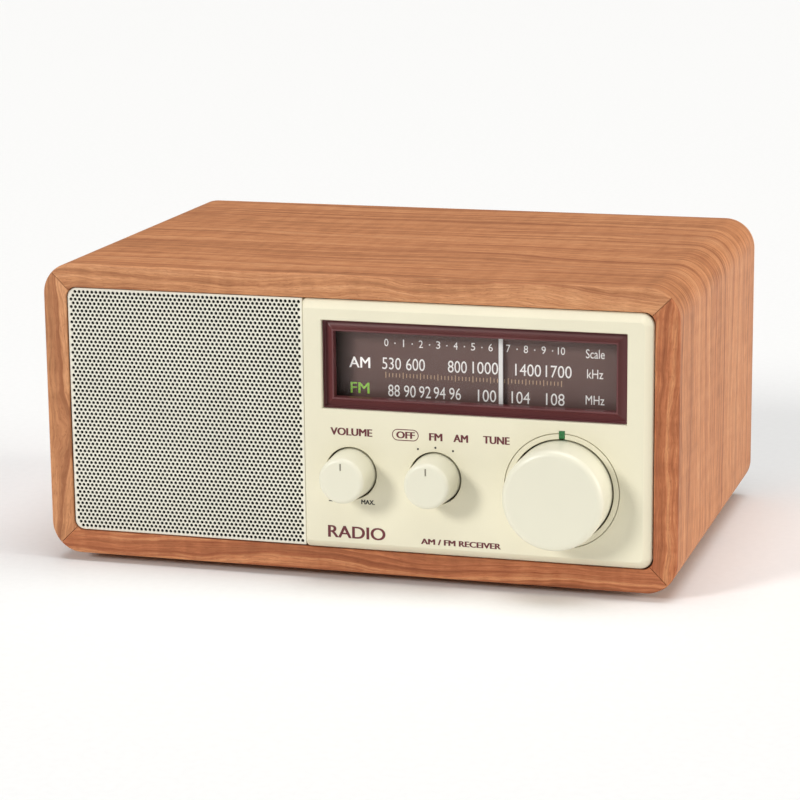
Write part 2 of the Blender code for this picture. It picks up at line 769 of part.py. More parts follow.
def circuit_board():
    x0, x1, y0, y1 = BOARD_EDGES
    tray = block("board_tray", (x0, y0, WALL + GAP), (x1, y1, WALL + GAP + 1.5))
    top = WALL + GAP + 6.0
    bosses = []
    for i, (x, y) in enumerate(((x0 + 5, y0 + 5), (x1 - 5, y0 + 5), (x0 + 5, y1 - 5), (x1 - 5, y1 - 5))):
        bosses.append(rod(f"boss_{i}", (x, y, WALL + GAP + 0.5), (x, y, top), 3.0, 12))
    keep(fuse(tray, *bosses), BLACK)
    board = block("main_board", (x0, y0, top + GAP), (x1, y1, top + GAP + 1.6))
    keep(board, BOARD_GREEN)
    base = top + GAP + 1.6 + GAP
    keep(block("tuner_can", (*TUNER_LOW, base), (*TUNER_HIGH, base + TUNER_HEIGHT)), STEEL)


def transformer():
    """An iron core with two windows, and the winding that fills them round the middle leg."""
    x0, x1, z0, z1 = CORE_LEFT, CORE_RIGHT, WALL + 2.0, WALL + 2.0 + CORE_HEIGHT
    core = rectangle(x0, x1, z0, z1)
    windows = [rectangle(-98.0, -88.0, z0 + 8, z1 - 8), rectangle(-76.0, -66.0, z0 + 8, z1 - 8)]
    keep(flat_solid("transformer_core", [core, *windows], CORE_FRONT, CORE_BACK), STEEL)
    winding = rectangle(-97.0, -67.0, CORE_FRONT - 9.0, CORE_BACK + 9.0, 4.0, 3)
    leg = rectangle(-88.0 - GAP, -76.0 + GAP, CORE_FRONT - GAP, CORE_BACK + GAP)
    keep(flat_solid("transformer_coil", [winding, leg], z0 + 9, z1 - 9, facing="Z"), COPPER)


def aerial():
    """The ferrite rod lies along the cabinet under its roof, held by a bracket at both ends."""
    y, z = ROD_Y, ROD_Z
    keep(rod("ferrite_rod", (ROD_LEFT, y, z), (ROD_RIGHT, y, z), ROD_RADIUS), FERRITE)
    coil = [circle((y, z), COIL_RADIUS, 20), circle((y, z), ROD_BORE, 20)]
    keep(flat_solid("aerial_coil", coil, 44.0, 68.0, facing="X"), COPPER)
    roof = CABINET_HEIGHT - WALL - GAP
    bracket = block("aerial_bracket", (ROD_LEFT + 3, y - 8, roof - 1.5), (ROD_RIGHT - 3, y + 8, roof))
    arms = []
    for i, x in enumerate((ROD_LEFT + 7, ROD_RIGHT - 9)):
        arm = rectangle(y - 8, y + 8, z - 8, roof - 0.5)
        arms.append(flat_solid(f"arm_{i}", [arm, circle((y, z), ROD_BORE, 20)], x, x + 3.0, facing="X"))
    keep(fuse(bracket, *arms), WHITE)


# ---------------------------------------------------------------- rear


def rear():
    batten = [cabinet_outline(WALL + GAP, OPENING_RADIUS - GAP, 4)]
    batten.append(cabinet_outline(WALL + GAP + BATTEN_WIDTH, 3.0, 2))
    batten += [circle(centre, SCREW_HOLE, 12) for centre in REAR_SCREWS]
    keep(flat_solid("rear_batten", batten, BATTEN_FRONT, REAR_PANEL_FRONT - GAP), BOARD_WOOD)

    x, z = INLET_CENTRE
    sheet = [cabinet_outline(WALL + GAP, OPENING_RADIUS - GAP, 4)]
    sheet += [circle(centre, SCREW_HOLE, 12) for centre in REAR_SCREWS]
    sheet += [
        circle(PORT_CENTRE, PORT_RADIUS + 2 + GAP),
        circle(AERIAL_CENTRE, 5.1, 16),
        circle(JACK_CENTRE, 4.3, 16),
        rectangle(x - 12.3, x + 12.3, z - 8.3, z + 8.3),
    ]
    keep(flat_solid("rear_panel", sheet, REAR_PANEL_FRONT, REAR_PANEL_BACK), BLACK)

    face = REAR_PANEL_BACK + GAP
    screw = [(0.0, 147.0), (1.5, 147.0), (1.5, face), (3.0, face), (2.6, face + 1.4), (0.0, face + 1.4)]
    for number, centre in enumerate(REAR_SCREWS, 1):
        keep(turned(f"rear_screw_{number}", screw, centre, steps=12), STEEL)


def bass_port():
    face = REAR_PANEL_BACK + GAP
    outer = PORT_RADIUS + 2
    profile = [(PORT_RADIUS, 108.0), (outer, 108.0), (outer, face), (outer + 4, face)]
    profile += [(outer + 4, face + 1.6), (PORT_RADIUS + 3, face + 1.6)]
    profile += [(PORT_RADIUS, face - 1.4)]
    keep(turned("bass_port", profile, PORT_CENTRE, ring=True), BLACK)


def sockets():
    x, z = INLET_CENTRE
    face = REAR_PANEL_BACK + GAP
    body = block("mains_inlet", (x - 12, 140.0, z - 8), (x + 12, face + 1.0, z + 8))
    rim = block("inlet_rim", (x - 14, face, z - 10), (x + 14, face + 1.5, z + 10))
    cavity = rectangle(x - 8.5, x + 8.5, z - 4.2, z + 4.2, 4.1)
    hollow = flat_solid("inlet_cavity", [cavity], face - 10.0, face + 5.0)
    keep(cut(fuse(body, rim), hollow), BLACK)

    aerial_plug = [
        (0.0, 146.0),
        (4.8, 146.0),
        (4.8, face),
        (7.0, face),
        (7.0, face + 1.0),
        (4.8, face + 1.0),
        (4.8, face + 2.7),
        (1.0, face + 2.7),
        (1.0, face - 5.0),
        (0.0, face - 5.0),
    ]
    keep(turned("aerial_socket", aerial_plug, AERIAL_CENTRE, steps=20), BRASS)
    jack = [
        (0.0, 143.0),
        (4.0, 143.0),
        (4.0, face),
        (5.5, face),
        (5.5, face + 1.2),
        (1.8, face + 1.2),
        (1.8, face - 12.0),
        (0.0, face - 12.0),
    ]
    keep(turned("headphone_jack", jack, JACK_CENTRE, steps=20), STEEL)


def build():
    clear_scene()
    cabinet_shell()
    front_frame()
    feet()
    grille()
    baffle()
    basket()
    magnet()
    cone_assembly()
    front_panel()
    dial()
    controls()
    drive_plate()
    drum = pulleys()
    dial_cord()
    pointer()
    tuning_capacitor(drum)
    circuit_board()
    transformer()
    aerial()
    rear()
    bass_port()
    sockets()


build()
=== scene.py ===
"""The looks of the tabletop radio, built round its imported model.

Sizes are in millimetres in cabinet coordinates: x across, y back from the front frame's face and z up from
the cabinet's underside. at() turns them into the frame's metres, from the front frame's own box.
"""
import math

import bmesh
import bpy
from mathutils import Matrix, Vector


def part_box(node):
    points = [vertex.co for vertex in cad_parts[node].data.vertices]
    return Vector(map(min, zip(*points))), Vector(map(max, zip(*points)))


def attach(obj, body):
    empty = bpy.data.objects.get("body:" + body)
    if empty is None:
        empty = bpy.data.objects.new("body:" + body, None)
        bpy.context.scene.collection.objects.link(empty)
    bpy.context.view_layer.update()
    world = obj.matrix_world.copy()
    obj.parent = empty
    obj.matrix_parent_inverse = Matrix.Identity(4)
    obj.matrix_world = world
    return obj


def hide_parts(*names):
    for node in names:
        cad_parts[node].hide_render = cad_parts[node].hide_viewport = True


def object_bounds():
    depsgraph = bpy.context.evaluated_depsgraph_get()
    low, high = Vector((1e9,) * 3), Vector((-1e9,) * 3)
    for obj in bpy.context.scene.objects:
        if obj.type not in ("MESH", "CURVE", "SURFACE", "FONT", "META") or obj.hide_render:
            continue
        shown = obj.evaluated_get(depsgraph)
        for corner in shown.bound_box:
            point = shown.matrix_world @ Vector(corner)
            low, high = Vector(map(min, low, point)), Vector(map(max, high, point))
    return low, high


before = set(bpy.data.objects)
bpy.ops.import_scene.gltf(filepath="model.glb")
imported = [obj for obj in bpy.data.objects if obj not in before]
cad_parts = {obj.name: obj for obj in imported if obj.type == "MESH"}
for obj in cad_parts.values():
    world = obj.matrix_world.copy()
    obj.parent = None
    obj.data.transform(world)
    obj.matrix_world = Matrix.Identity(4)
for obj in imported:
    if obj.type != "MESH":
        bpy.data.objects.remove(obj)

CAD_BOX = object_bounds()
MM = 0.001
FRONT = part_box("front_frame_top")[0].y
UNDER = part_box("front_frame_bottom")[0].z


def at(x, y, z):
    return Vector((x * MM, FRONT + y * MM, UNDER + z * MM))


def edges(node):
    """A node's box in cabinet millimetres: x0, x1, y0, y1, z0, z1."""
    low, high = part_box(node)
    start = Vector((0, FRONT, UNDER))
    low, high = (low - start) / MM, (high - start) / MM
    return low.x, high.x, low.y, high.y, low.z, high.z


def centre(node):
    x0, x1, _, _, z0, z1 = edges(node)
    return (x0 + x1) / 2, (z0 + z1) / 2


# Camera and light, in metres and degrees, with the lens in millimetres. The camera is fitted to the
# cabinet's outline in the photograph, for an assumed depth and without lens shift.
LENS = 124.45
SENSOR = 36.0
CAMERA_PLACE = (0.2945, -1.0041, 0.2896)
CAMERA_ANGLES = (77.236, 0.575, 16.378)
WORLD_LIGHT = 0.15
FLOOR_RADIUS = 14.0
FLOOR_GAP = 0.0002

# Modelling: points nearer than this are one point, and edges sharper than this are bevelled
WELD = 0.05
BEVEL_ANGLE = 35

# Cabinet
LEFT, RIGHT, _, DEPTH, _, HEIGHT = edges("cabinet_shell")
CORNER = 11.7
BORDER = 8.8
INNER_CORNER = 4.0
EDGE_FILLET = 0.9
LAP = 1.6
CORNER_STEPS = 16
MITRE_GAP = 0.09
BOARD_APART = (310.0, 31.0)

# Front panel
PANEL = edges("front_panel")
PANEL_FACE = PANEL[2]
RIM_WIDTH = 3.1
RIM_LEFT = 1.1
RIM_DEPTH = 3.0
WINDOW = (-10.9, 101.8, 61.9, 94.7)
WELL = 9.82
TUNE_WELL = 18.98
TUNE_RING = 21.04
VOLUME = centre("volume_knob")
BAND = centre("band_knob")
TUNE = centre("tune_knob")
LAMP = edges("tuning_lamp")

# Dial
PLATE = edges("dial_plate")
INK = 0.05
LAYER = 0.015

# Speaker grille: holes in staggered rows, at the pitch measured in the photograph. The holes look about 1 mm
# wide there. They are drawn 1.24 mm wide, so that the grille's average tone agrees.
GRILLE = edges("speaker_grille")
GRILLE_CORNER = 3.7
SIDE_MARGIN, END_MARGIN = 0.64, 0.55
COLUMNS, ROWS = 54, 63
HOLE_PITCH = (GRILLE[1] - GRILLE[0] - 2 * SIDE_MARGIN) / COLUMNS
ROW_PITCH = (GRILLE[5] - GRILLE[4] - 2 * END_MARGIN) / (ROWS + 1 / 3)
HOLE_RADIUS = 0.62
SHEET = 0.45


# ---------------------------------------------------------------- materials


class Look:
    """A material of nodes round one Principled shader. Lengths in its textures are millimetres."""

    def __init__(self, name, roughness, metallic=0.0, **values):
        self.material = bpy.data.materials.new(name)
        self.material.use_nodes = True
        self.tree = self.material.node_tree
        self.shader = self.tree.nodes["Principled BSDF"]
        self.shader.inputs["Roughness"].default_value = roughness
        self.shader.inputs["Metallic"].default_value = metallic
        for key, value in values.items():
            self.shader.inputs[key.replace("_", " ")].default_value = value
        self.place = None

    def node(self, kind, inputs=None, **settings):
        made = self.tree.nodes.new("ShaderNode" + kind)
        for key, value in settings.items():
            setattr(made, key, value)
        for key, value in (inputs or {}).items():
            if isinstance(value, bpy.types.NodeSocket):
                self.tree.links.new(value, made.inputs[key])
            else:
                made.inputs[key].default_value = value
        return made

    def position(self):
        """The point on the object, in millimetres."""
        if self.place is None:
            coordinate = self.node("TexCoord").outputs["Object"]
            self.place = self.stretch(coordinate, (1 / MM, 1 / MM, 1 / MM))
        return self.place

    def grain(self):
        """Along the grain, across it, and a third number that sets one board apart from the next."""
        return self.node("Attribute", attribute_name="grain").outputs["Vector"]

    def stretch(self, vector, scale):
        return self.node("VectorMath", {0: vector, 1: scale}, operation="MULTIPLY").outputs["Vector"]

    def shift(self, vector, offset):
        return self.node("VectorMath", {0: vector, 1: offset}, operation="ADD").outputs["Vector"]

    def math(self, operation, a, b=0.0, clamp=False):
        return self.node("Math", {0: a, 1: b}, operation=operation, use_clamp=clamp).outputs[0]

    def noise(self, vector, period, detail, roughness=0.5):
        """Noise with these periods along its vector's three directions."""
        scaled = self.stretch(vector, tuple(1 / p for p in period))
        inputs = {"Vector": scaled, "Scale": 1.0, "Detail": detail, "Roughness": roughness}
        return self.node("TexNoise", inputs).outputs["Fac"]

    def between(self, value, low, high, start=0.0, end=1.0):
        inputs = {"Value": value, "From Min": low, "From Max": high, "To Min": start, "To Max": end}
        made = self.node("MapRange", inputs, interpolation_type="SMOOTHSTEP")
        return made.outputs["Result"]

    def ramp(self, value, stops):
        made = self.node("ValToRGB", {"Fac": value})
        ramp = made.color_ramp
        while len(ramp.elements) < len(stops):
            ramp.elements.new(0.5)
        for element, (place, colour) in zip(ramp.elements, stops):
            element.position = place
            element.color = (*colour, 1.0)
        return made.outputs["Color"]

    def mix(self, share, a, b):
        made = self.node("Mix", {0: share}, data_type="RGBA")
        for index, value in ((6, a), (7, b)):
            if isinstance(value, bpy.types.NodeSocket):
                self.tree.links.new(value, made.inputs[index])
            else:
                made.inputs[index].default_value = (*value, 1.0)
        return made.outputs[2]

    def set(self, socket, value):
        self.tree.links.new(value, self.shader.inputs[socket])

    def bump(self, height, distance, strength=1.0):
        inputs = {"Height": height, "Distance": distance * MM, "Strength": strength}
        self.set("Normal", self.node("Bump", inputs).outputs["Normal"])


def tint(colour, factor):
    return tuple(min(1.0, c * factor) for c in colour)


def moulded(name, colour, roughness, grain=0.35, depth=0.012, spread=0.04, **values):
    """Moulded plastic or paint: a fine skin texture, with slight drifts in tone and gloss."""
    look = Look(name, roughness, **values)
    place = look.position()
    drift = look.noise(place, (26.0, 26.0, 26.0), 3.0)
    fine = look.noise(place, (grain, grain, grain), 3.0, 0.6)
    tone = look.math("ADD", look.math("MULTIPLY", drift, 0.7), look.math("MULTIPLY", fine, 0.3))
    stops = [(0.3, tint(colour, 1 - spread)), (0.7, tint(colour, 1 + spread))]
    look.set("Base Color", look.ramp(tone, stops))
    look.set("Roughness", look.between(fine, 0.3, 0.7, roughness * 0.9, roughness * 1.12))
    look.bump(fine, depth)
    return look.material


def wood(name, tones, ring, sway, contrast, seed, fine_width, sharp):
    """Lacquered cherry: swaying growth lines, a few dark figure lines, streaks, fibres and short pores."""
    dark, middle, light = tones
    finish = 0.52
    look = Look(name, finish, Specular_IOR_Level=0.16)
    grain = look.shift(look.grain(), (0.0, 0.0, seed))
    wide = look.noise(grain, (110.0, 34.0, 7.0), 1.0)
    narrow = look.noise(grain, (24.0, 12.0, 7.0), 2.0)
    bend = look.math("ADD", look.math("MULTIPLY", wide, sway), look.math("MULTIPLY", narrow, sway * 0.24))
    shifted = look.node("CombineXYZ", {"Y": bend})
    path = look.node("VectorMath", {0: grain, 1: shifted.outputs[0]}, operation="ADD").outputs["Vector"]
    across = look.node("SeparateXYZ", {0: path}).outputs["Y"]

    line = growth_lines(look, path, across, ring, 0.42, 0.56, sharp)
    figure = growth_lines(look, path, across, ring * 3.3, 0.42, 0.52, sharp * 2.5)
    line = look.math("MAXIMUM", look.math("MULTIPLY", line, 0.6), figure)

    bands = look.noise(path, (300.0, ring * 1.6, 6.0), 2.0, 0.6)
    streaks = look.noise(path, (120.0, fine_width * 3.0, 3.0), 3.0, 0.7)
    fibres = look.noise(path, (fine_width * 16.0, fine_width, 2.0), 2.0, 0.6)
    pores = look.between(look.noise(path, (fine_width * 5.0, fine_width * 0.8, 1.0), 2.0, 0.7), 0.56, 0.66)
    flame = look.noise(grain, (5.0, 26.0, 9.0), 2.0)

    shade = look.math("ADD", look.math("MULTIPLY", bands, 0.42), look.math("MULTIPLY", streaks, 0.44))
    shade = look.math("ADD", shade, look.math("MULTIPLY", flame, 0.14))
    colour = look.ramp(shade, [(0.40, tint(middle, 0.66)), (0.5, middle), (0.60, light)])
    colour = look.mix(look.math("MULTIPLY", line, contrast, clamp=True), colour, dark)
    fine = look.between(fibres, 0.38, 0.62, 0.0, 0.42 * contrast)
    colour = look.mix(fine, colour, dark)
    colour = look.mix(look.math("MULTIPLY", pores, 0.3), colour, tint(dark, 0.8))
    look.set("Base Color", colour)
    look.set("Roughness", look.between(fibres, 0.25, 0.75, finish - 0.04, finish + 0.08))
    depth = look.math("SUBTRACT", look.math("MULTIPLY", fibres, 0.35), look.math("MULTIPLY", pores, 0.5))
    look.bump(depth, 0.03, 0.5)
    return look.material


def growth_lines(look, path, across, pitch, scarce, plenty, sharp):
    """Lines that darken slowly and end sharply, unevenly spaced, and seen only here and there."""
    uneven = look.noise(path, (450.0, pitch * 3.0, 9.0), 2.0)
    turns = look.math("ADD", look.math("DIVIDE", across, pitch), look.math("MULTIPLY", uneven, 2.4))
    phase = look.math("FRACT", turns)
    line = look.math("MULTIPLY", look.math("POWER", phase, sharp), look.between(phase, 0.97, 1.0, 1.0, 0.2))
    shown = look.between(look.noise(path, (150.0, pitch * 1.8, 5.0), 2.0), scarce, plenty)
    return look.math("MULTIPLY", line, look.math("ADD", look.math("MULTIPLY", shown, 0.9), 0.1))


def metal(name, colour, roughness, brush=(8.0, 0.15, 0.15)):
    """Bare metal with fine lines along one direction and slightly uneven gloss."""
    look = Look(name, roughness, 1.0)
    place = look.position()
    lines = look.noise(place, brush, 3.0, 0.6)
    blotch = look.noise(place, (9.0, 9.0, 9.0), 3.0)
    look.set("Base Color", look.ramp(blotch, [(0.3, tint(colour, 0.88)), (0.7, tint(colour, 1.06))]))
    tone = look.math("ADD", look.math("MULTIPLY", lines, 0.6), look.math("MULTIPLY", blotch, 0.4))
    look.set("Roughness", look.between(tone, 0.3, 0.7, roughness * 0.8, roughness * 1.25))
    look.bump(lines, 0.004)
    return look.material


def fibrous(name, colour, roughness, period, depth, spread=0.25):
    """Pressed board, paper or ferrite: speckled all over, with a rough skin."""
    look = Look(name, roughness)
    place = look.position()
    coarse = look.noise(place, (period * 6,) * 3, 3.0)
    fine = look.noise(place, (period,) * 3, 4.0, 0.65)
    tone = look.math("ADD", look.math("MULTIPLY", coarse, 0.4), look.math("MULTIPLY", fine, 0.6))
    stops = [(0.35, tint(colour, 1 - spread)), (0.65, tint(colour, 1 + spread))]
    look.set("Base Color", look.ramp(tone, stops))
    look.bump(fine, depth)
    return look.material


def woven(name, colour, pitch, depth):
    """Cloth or braid: threads over and under along two directions, painted darker where they dip as shade and
    lighter where they rise as highlight.
    """
    look = Look(name, 0.9, Sheen_Weight=0.25, Sheen_Roughness=0.5)
    parts = look.node("SeparateXYZ", {0: look.position()}).outputs
    waves = []
    for axis in ("X", "Z"):
        turn = look.math("MULTIPLY", parts[axis], 2 * math.pi / pitch)
        waves.append(look.math("SINE", turn))
    weave_relief_and_shade = look.math("MULTIPLY", *waves)
    fuzz = look.noise(look.position(), (pitch * 0.4,) * 3, 3.0, 0.7)
    tone = look.math("ADD", look.between(weave_relief_and_shade, -1.0, 1.0), look.math("MULTIPLY", fuzz, 0.5))
    # Painted shade where the threads dip and painted highlight where they rise, with random fuzz.
    look.set("Base Color", look.ramp(tone, [(0.2, tint(colour, 0.5)), (1.0, tint(colour, 1.5))]))
    look.bump(tone, depth)
    return look.material


def wound(name, colour, wire):
    """Enamelled wire in close turns, one above the next, with painted highlight on each turn and painted
    shade between turns.
    """
    look = Look(name, 0.35, 1.0)
    parts = look.node("SeparateXYZ", {0: look.position()}).outputs
    slope = look.math("MULTIPLY", parts["X"], 0.12)
    turns = look.math("PINGPONG", look.math("ADD", parts["Z"], slope), wire / 2)
    wire_relief_and_shade = look.between(turns, 0.0, wire / 2)
    drift = look.noise(look.position(), (6.0, 6.0, 2.0), 3.0)
    tone = look.math("ADD", look.math("MULTIPLY", wire_relief_and_shade, 0.6), look.math("MULTIPLY", drift, 0.4))
    # Painted highlight on each turn's crest and painted shade between turns, with a random drift in tone.
    look.set("Base Color", look.ramp(tone, [(0.2, tint(colour, 0.45)), (0.8, tint(colour, 1.2))]))
    look.bump(wire_relief_and_shade, wire * 0.4)
    return look.material


def circuit(name):
    """Solder mask with slightly raised copper tracks."""
    look = Look(name, 0.35, Coat_Weight=0.3, Coat_Roughness=0.15)
    parts = look.node("SeparateXYZ", {0: look.position()}).outputs
    cell = look.node("CombineXYZ", {"X": parts["X"], "Y": parts["Y"]}).outputs[0]
    inputs = {"Vector": look.stretch(cell, (0.2, 0.55, 1.0)), "Scale": 1.0, "Randomness": 0.35}
    distance = look.node("TexVoronoi", inputs, distance="CHEBYCHEV", feature="DISTANCE_TO_EDGE")
    track = look.between(distance.outputs["Distance"], 0.09, 0.13, 1.0, 0.0)
    look.set("Base Color", look.mix(track, (0.012, 0.09, 0.03), (0.03, 0.2, 0.07)))
    look.bump(track, 0.035)
    return look.material


def dial_print(name):
    """The dial's dark printed face with painted light: paler across its middle as painted lamp light, darker
    by the ends as painted shade.
    """
    look = Look(name, 0.42)
    place = look.position()
    left, right = (PLATE[0] + 1.5, PLATE[1] - 2.0)
    x = look.node("SeparateXYZ", {0: place}).outputs["X"]
    # Painted light: lit pales the plate's middle as painted lamp light, and its ends keep the dark colour
    # below as painted shade.
    lit = look.math("MULTIPLY", look.between(x, left, left + 10.0), look.between(x, right, right - 4.0))
    fine = look.noise(place, (0.25, 0.25, 0.25), 3.0)
    cloudy = look.noise(place, (18.0, 18.0, 9.0), 2.0)
    colour = look.mix(lit, (0.022, 0.022, 0.017), (0.158, 0.088, 0.077))
    tone = look.between(look.math("ADD", look.math("MULTIPLY", fine, 0.5), cloudy), 0.5, 1.0, 0.0, 0.25)
    look.set("Base Color", look.mix(tone, colour, (0.165, 0.108, 0.095)))
    look.bump(fine, 0.01)
    return look.material


def glowing(name, colour, light, strength):
    """A tinted surface that shines a little, slightly unevenly, with fine ribs."""
    look = Look(name, 0.22, Emission_Strength=strength, Coat_Weight=0.4, Coat_Roughness=0.1)
    place = look.position()
    ribs = look.noise(place, (0.3, 3.0, 0.3), 2.0)
    drift = look.noise(place, (1.2, 1.2, 1.2), 2.0)
    look.set("Base Color", look.ramp(ribs, [(0.3, tint(colour, 0.7)), (0.7, tint(colour, 1.3))]))
    look.set("Emission Color", look.ramp(drift, [(0.25, tint(light, 0.6)), (0.75, light)]))
    look.bump(ribs, 0.01)
    return look.material


def shining(strength):
    """The settings of white ink that shines a little."""
    return {"Emission_Color": (1.0, 0.96, 0.92, 1.0), "Emission_Strength": strength}


CREAM = (0.785, 0.745, 0.575)
WHITE_INK = (0.88, 0.86, 0.84)
CHERRY = ((0.235, 0.071, 0.031), (0.60, 0.257, 0.113), (0.68, 0.328, 0.156))
CHERRY_EDGE = ((0.25, 0.074, 0.032), (0.59, 0.272, 0.126), (0.69, 0.348, 0.172))
# A darker, redder copy of the edging: painted shade on the less lit right and bottom strips.
CHERRY_SHADED_EDGE = ((0.20, 0.048, 0.021), (0.50, 0.176, 0.076), (0.66, 0.295, 0.134))

LOOKS = {
    "veneer": wood("cherry_veneer", CHERRY, 5.2, 16.0, 0.72, 0.0, 0.7, 2.6),
    "edging": wood("cherry_edging", CHERRY_EDGE, 2.8, 20.0, 0.74, 40.0, 0.42, 3.0),
    "painted_shade_edging": wood("cherry_edging_painted_shade", CHERRY_SHADED_EDGE, 3.0, 16.0, 0.74, 71.0, 0.42, 3.0),
    "cream_panel": moulded("cream_panel_plastic", CREAM, 0.42, spread=0.025),
    "cream_knob": moulded("cream_knob_plastic", (0.75, 0.73, 0.595), 0.34, spread=0.02, depth=0.006),
    "cream_paint": moulded("cream_metal_paint", (0.80, 0.785, 0.685), 0.38, 0.6, 0.01, 0.05, Coat_Weight=0.2),
    "maroon": moulded("maroon_plastic", (0.120, 0.031, 0.033), 0.36, spread=0.12),
    # Grey on the index groove's floor: painted shade.
    "index": moulded("index_groove_painted_shade", (0.27, 0.25, 0.20), 0.5),
    "dial": dial_print("dial_print"),
    "white_ink": moulded("white_ink", WHITE_INK, 0.5, 0.2, **shining(0.14)),
    "lit_ink": moulded("lit_white_ink", WHITE_INK, 0.5, 0.2, **shining(0.35)),
    "amber_ink": moulded("amber_ink", (0.62, 0.42, 0.27), 0.5, 0.2),
    "maroon_ink": moulded("maroon_ink", (0.13, 0.018, 0.026), 0.45, 0.2, 0.004, 0.1),
    "black_ink": moulded("black_ink", (0.02, 0.018, 0.016), 0.45, 0.2, 0.004, 0.1),
    "green_ink": glowing("lit_green_ink", (0.22, 0.46, 0.05), (0.36, 0.62, 0.10), 0.42),
    "green_lens": glowing("green_lens", (0.008, 0.10, 0.025), (0.01, 0.20, 0.04), 0.35),
    "white_plastic": moulded("white_plastic", (0.83, 0.82, 0.79), 0.4),
    "pointer": moulded("pointer_plastic", (0.93, 0.92, 0.91), 0.35, depth=0.004, spread=0.02),
    "black_plastic": moulded("black_plastic", (0.022, 0.022, 0.023), 0.5, 0.5, 0.03, 0.15),
    "dark_plastic": moulded("rear_panel_plastic", (0.028, 0.026, 0.025), 0.55, 0.8, 0.06, 0.2),
    "rubber": moulded("foot_rubber", (0.02, 0.02, 0.021), 0.85, 0.4, 0.03, 0.25),
    "surround": moulded("surround_rubber", (0.015, 0.015, 0.016), 0.7, 0.4, 0.02, 0.2),
    "steel": metal("zinc_plated_steel", (0.56, 0.56, 0.57), 0.36),
    "screw_steel": metal("screw_steel", (0.36, 0.36, 0.37), 0.34, (0.2, 3.0, 0.2)),
    "nickel": metal("nickel_plate", (0.62, 0.60, 0.56), 0.3, (0.2, 4.0, 0.2)),
    "pin_brass": metal("plated_pin", (0.70, 0.66, 0.55), 0.3, (0.2, 4.0, 0.2)),
    "brass": metal("socket_brass", (0.70, 0.50, 0.22), 0.32, (0.2, 3.0, 0.2)),
    "aluminium": metal("aluminium", (0.74, 0.75, 0.76), 0.4),
    "fibreboard": fibrous("fibreboard", (0.34, 0.235, 0.14), 0.8, 0.6, 0.05),
    "paper": fibrous("cone_paper", (0.05, 0.05, 0.05), 0.9, 0.5, 0.06, 0.3),
    "ferrite": fibrous("ferrite", (0.05, 0.05, 0.056), 0.6, 0.25, 0.02, 0.3),
    "copper": wound("copper_winding", (0.50, 0.17, 0.06), 0.8),
    "board": circuit("circuit_board"),
    "cloth": woven("speaker_cloth", (0.010, 0.010, 0.010), 0.8, 0.06),
    "cord": woven("dial_cord_braid", (0.42, 0.39, 0.30), 0.5, 0.05),
    "lens": moulded("clear_lens", (0.08, 0.08, 0.08), 0.06, 6.0, 0.0005, 0.01, Alpha=0.05, IOR=1.49),
}


# ---------------------------------------------------------------- outlines and solids


def arc(cx, cz, radius, start, end, steps):
    """Points on an arc, angles in degrees, both ends included."""
    turns = [math.radians(start + (end - start) * i / steps) for i in range(steps + 1)]
    return [(cx + radius * math.cos(a), cz + radius * math.sin(a)) for a in turns]


def rectangle(x0, x1, z0, z1, radius, left_radius=None, steps=8):
    """A rounded rectangle's outline. It always has the same number of points, so that outlines loft."""
    left = radius if left_radius is None else left_radius
    corners = ((x1, z0, -90, radius), (x1, z1, 0, radius), (x0, z1, 90, left), (x0, z0, 180, left))
    outline = []
    for x, z, start, r in corners:
        r = max(r, 0.02)
        cx = x - r if x == x1 else x + r
        cz = z - r if z == z1 else z + r
        outline += arc(cx, cz, r, start, start + 90, steps)
    return outline


def circle(middle, radius, steps):
    return arc(*middle, radius, 0, 360, steps)[:-1]


def raised(outline, y):
    """An outline of (x, z) points as points at this depth."""
    return [(x, y, z) for x, z in outline]


def mesh_object(name, points, faces, grain):
    """An object from points in cabinet millimetres, its faces turned outwards."""
    mesh = bpy.data.meshes.new(name)
    mesh.from_pydata([at(*p) for p in points], [], faces)
    edit = bmesh.new()
    edit.from_mesh(mesh)
    bmesh.ops.recalc_face_normals(edit, faces=edit.faces)
    edit.to_mesh(mesh)
    edit.free()
    if grain:
        attribute = mesh.attributes.new("grain", "FLOAT_VECTOR", "POINT")
        attribute.data.foreach_set("vector", [c for g in grain for c in g])
    made = bpy.data.objects.new(name, mesh)
    bpy.context.scene.collection.objects.link(made)
    return made


def loft(name, loops, ring=False, closed=True, grain=None):
    """Joins loops of equally many points. A ring joins its last loop to its first, and other lofts are
    capped. Loops that aren't closed make a sheet that the ring or the caps close."""
    count = len(loops[0])
    points = [p for loop in loops for p in loop]
    faces = []
    spans = len(loops) if ring else len(loops) - 1
    for a in range(spans):
        b = (a + 1) % len(loops)
        for i in range(count if closed else count - 1):
            j = (i + 1) % count
            faces.append((a * count + i, a * count + j, b * count + j, b * count + i))
    if not ring:
        faces.append(tuple(range(count)))
        faces.append(tuple(range((len(loops) - 1) * count, len(loops) * count)))
    elif not closed:
        faces.append(tuple(a * count for a in range(len(loops))))
        faces.append(tuple(a * count + count - 1 for a in range(len(loops))))
    return mesh_object(name, points, faces, grain)


def turned(name, profile, middle, ring=False, steps=96):
    """A shape turned about a front-to-back axis, from (radius, y) points."""
    return loft(name, [raised(circle(middle, r, steps), y) for r, y in profile], ring)


def box_piece(name, low, high, bevel=0.0):
    outline = rectangle(low[0], high[0], low[2], high[2], 0.0, steps=1)
    made = loft(name, [raised(outline, low[1]), raised(outline, high[1])])
    weld(made)
    if bevel:
        soften(made, bevel)
    return made


def weld(obj):
    edit = bmesh.new()
    edit.from_mesh(obj.data)
    bmesh.ops.remove_doubles(edit, verts=edit.verts, dist=WELD * MM)
    bmesh.ops.recalc_face_normals(edit, faces=edit.faces)
    edit.to_mesh(obj.data)
    edit.free()


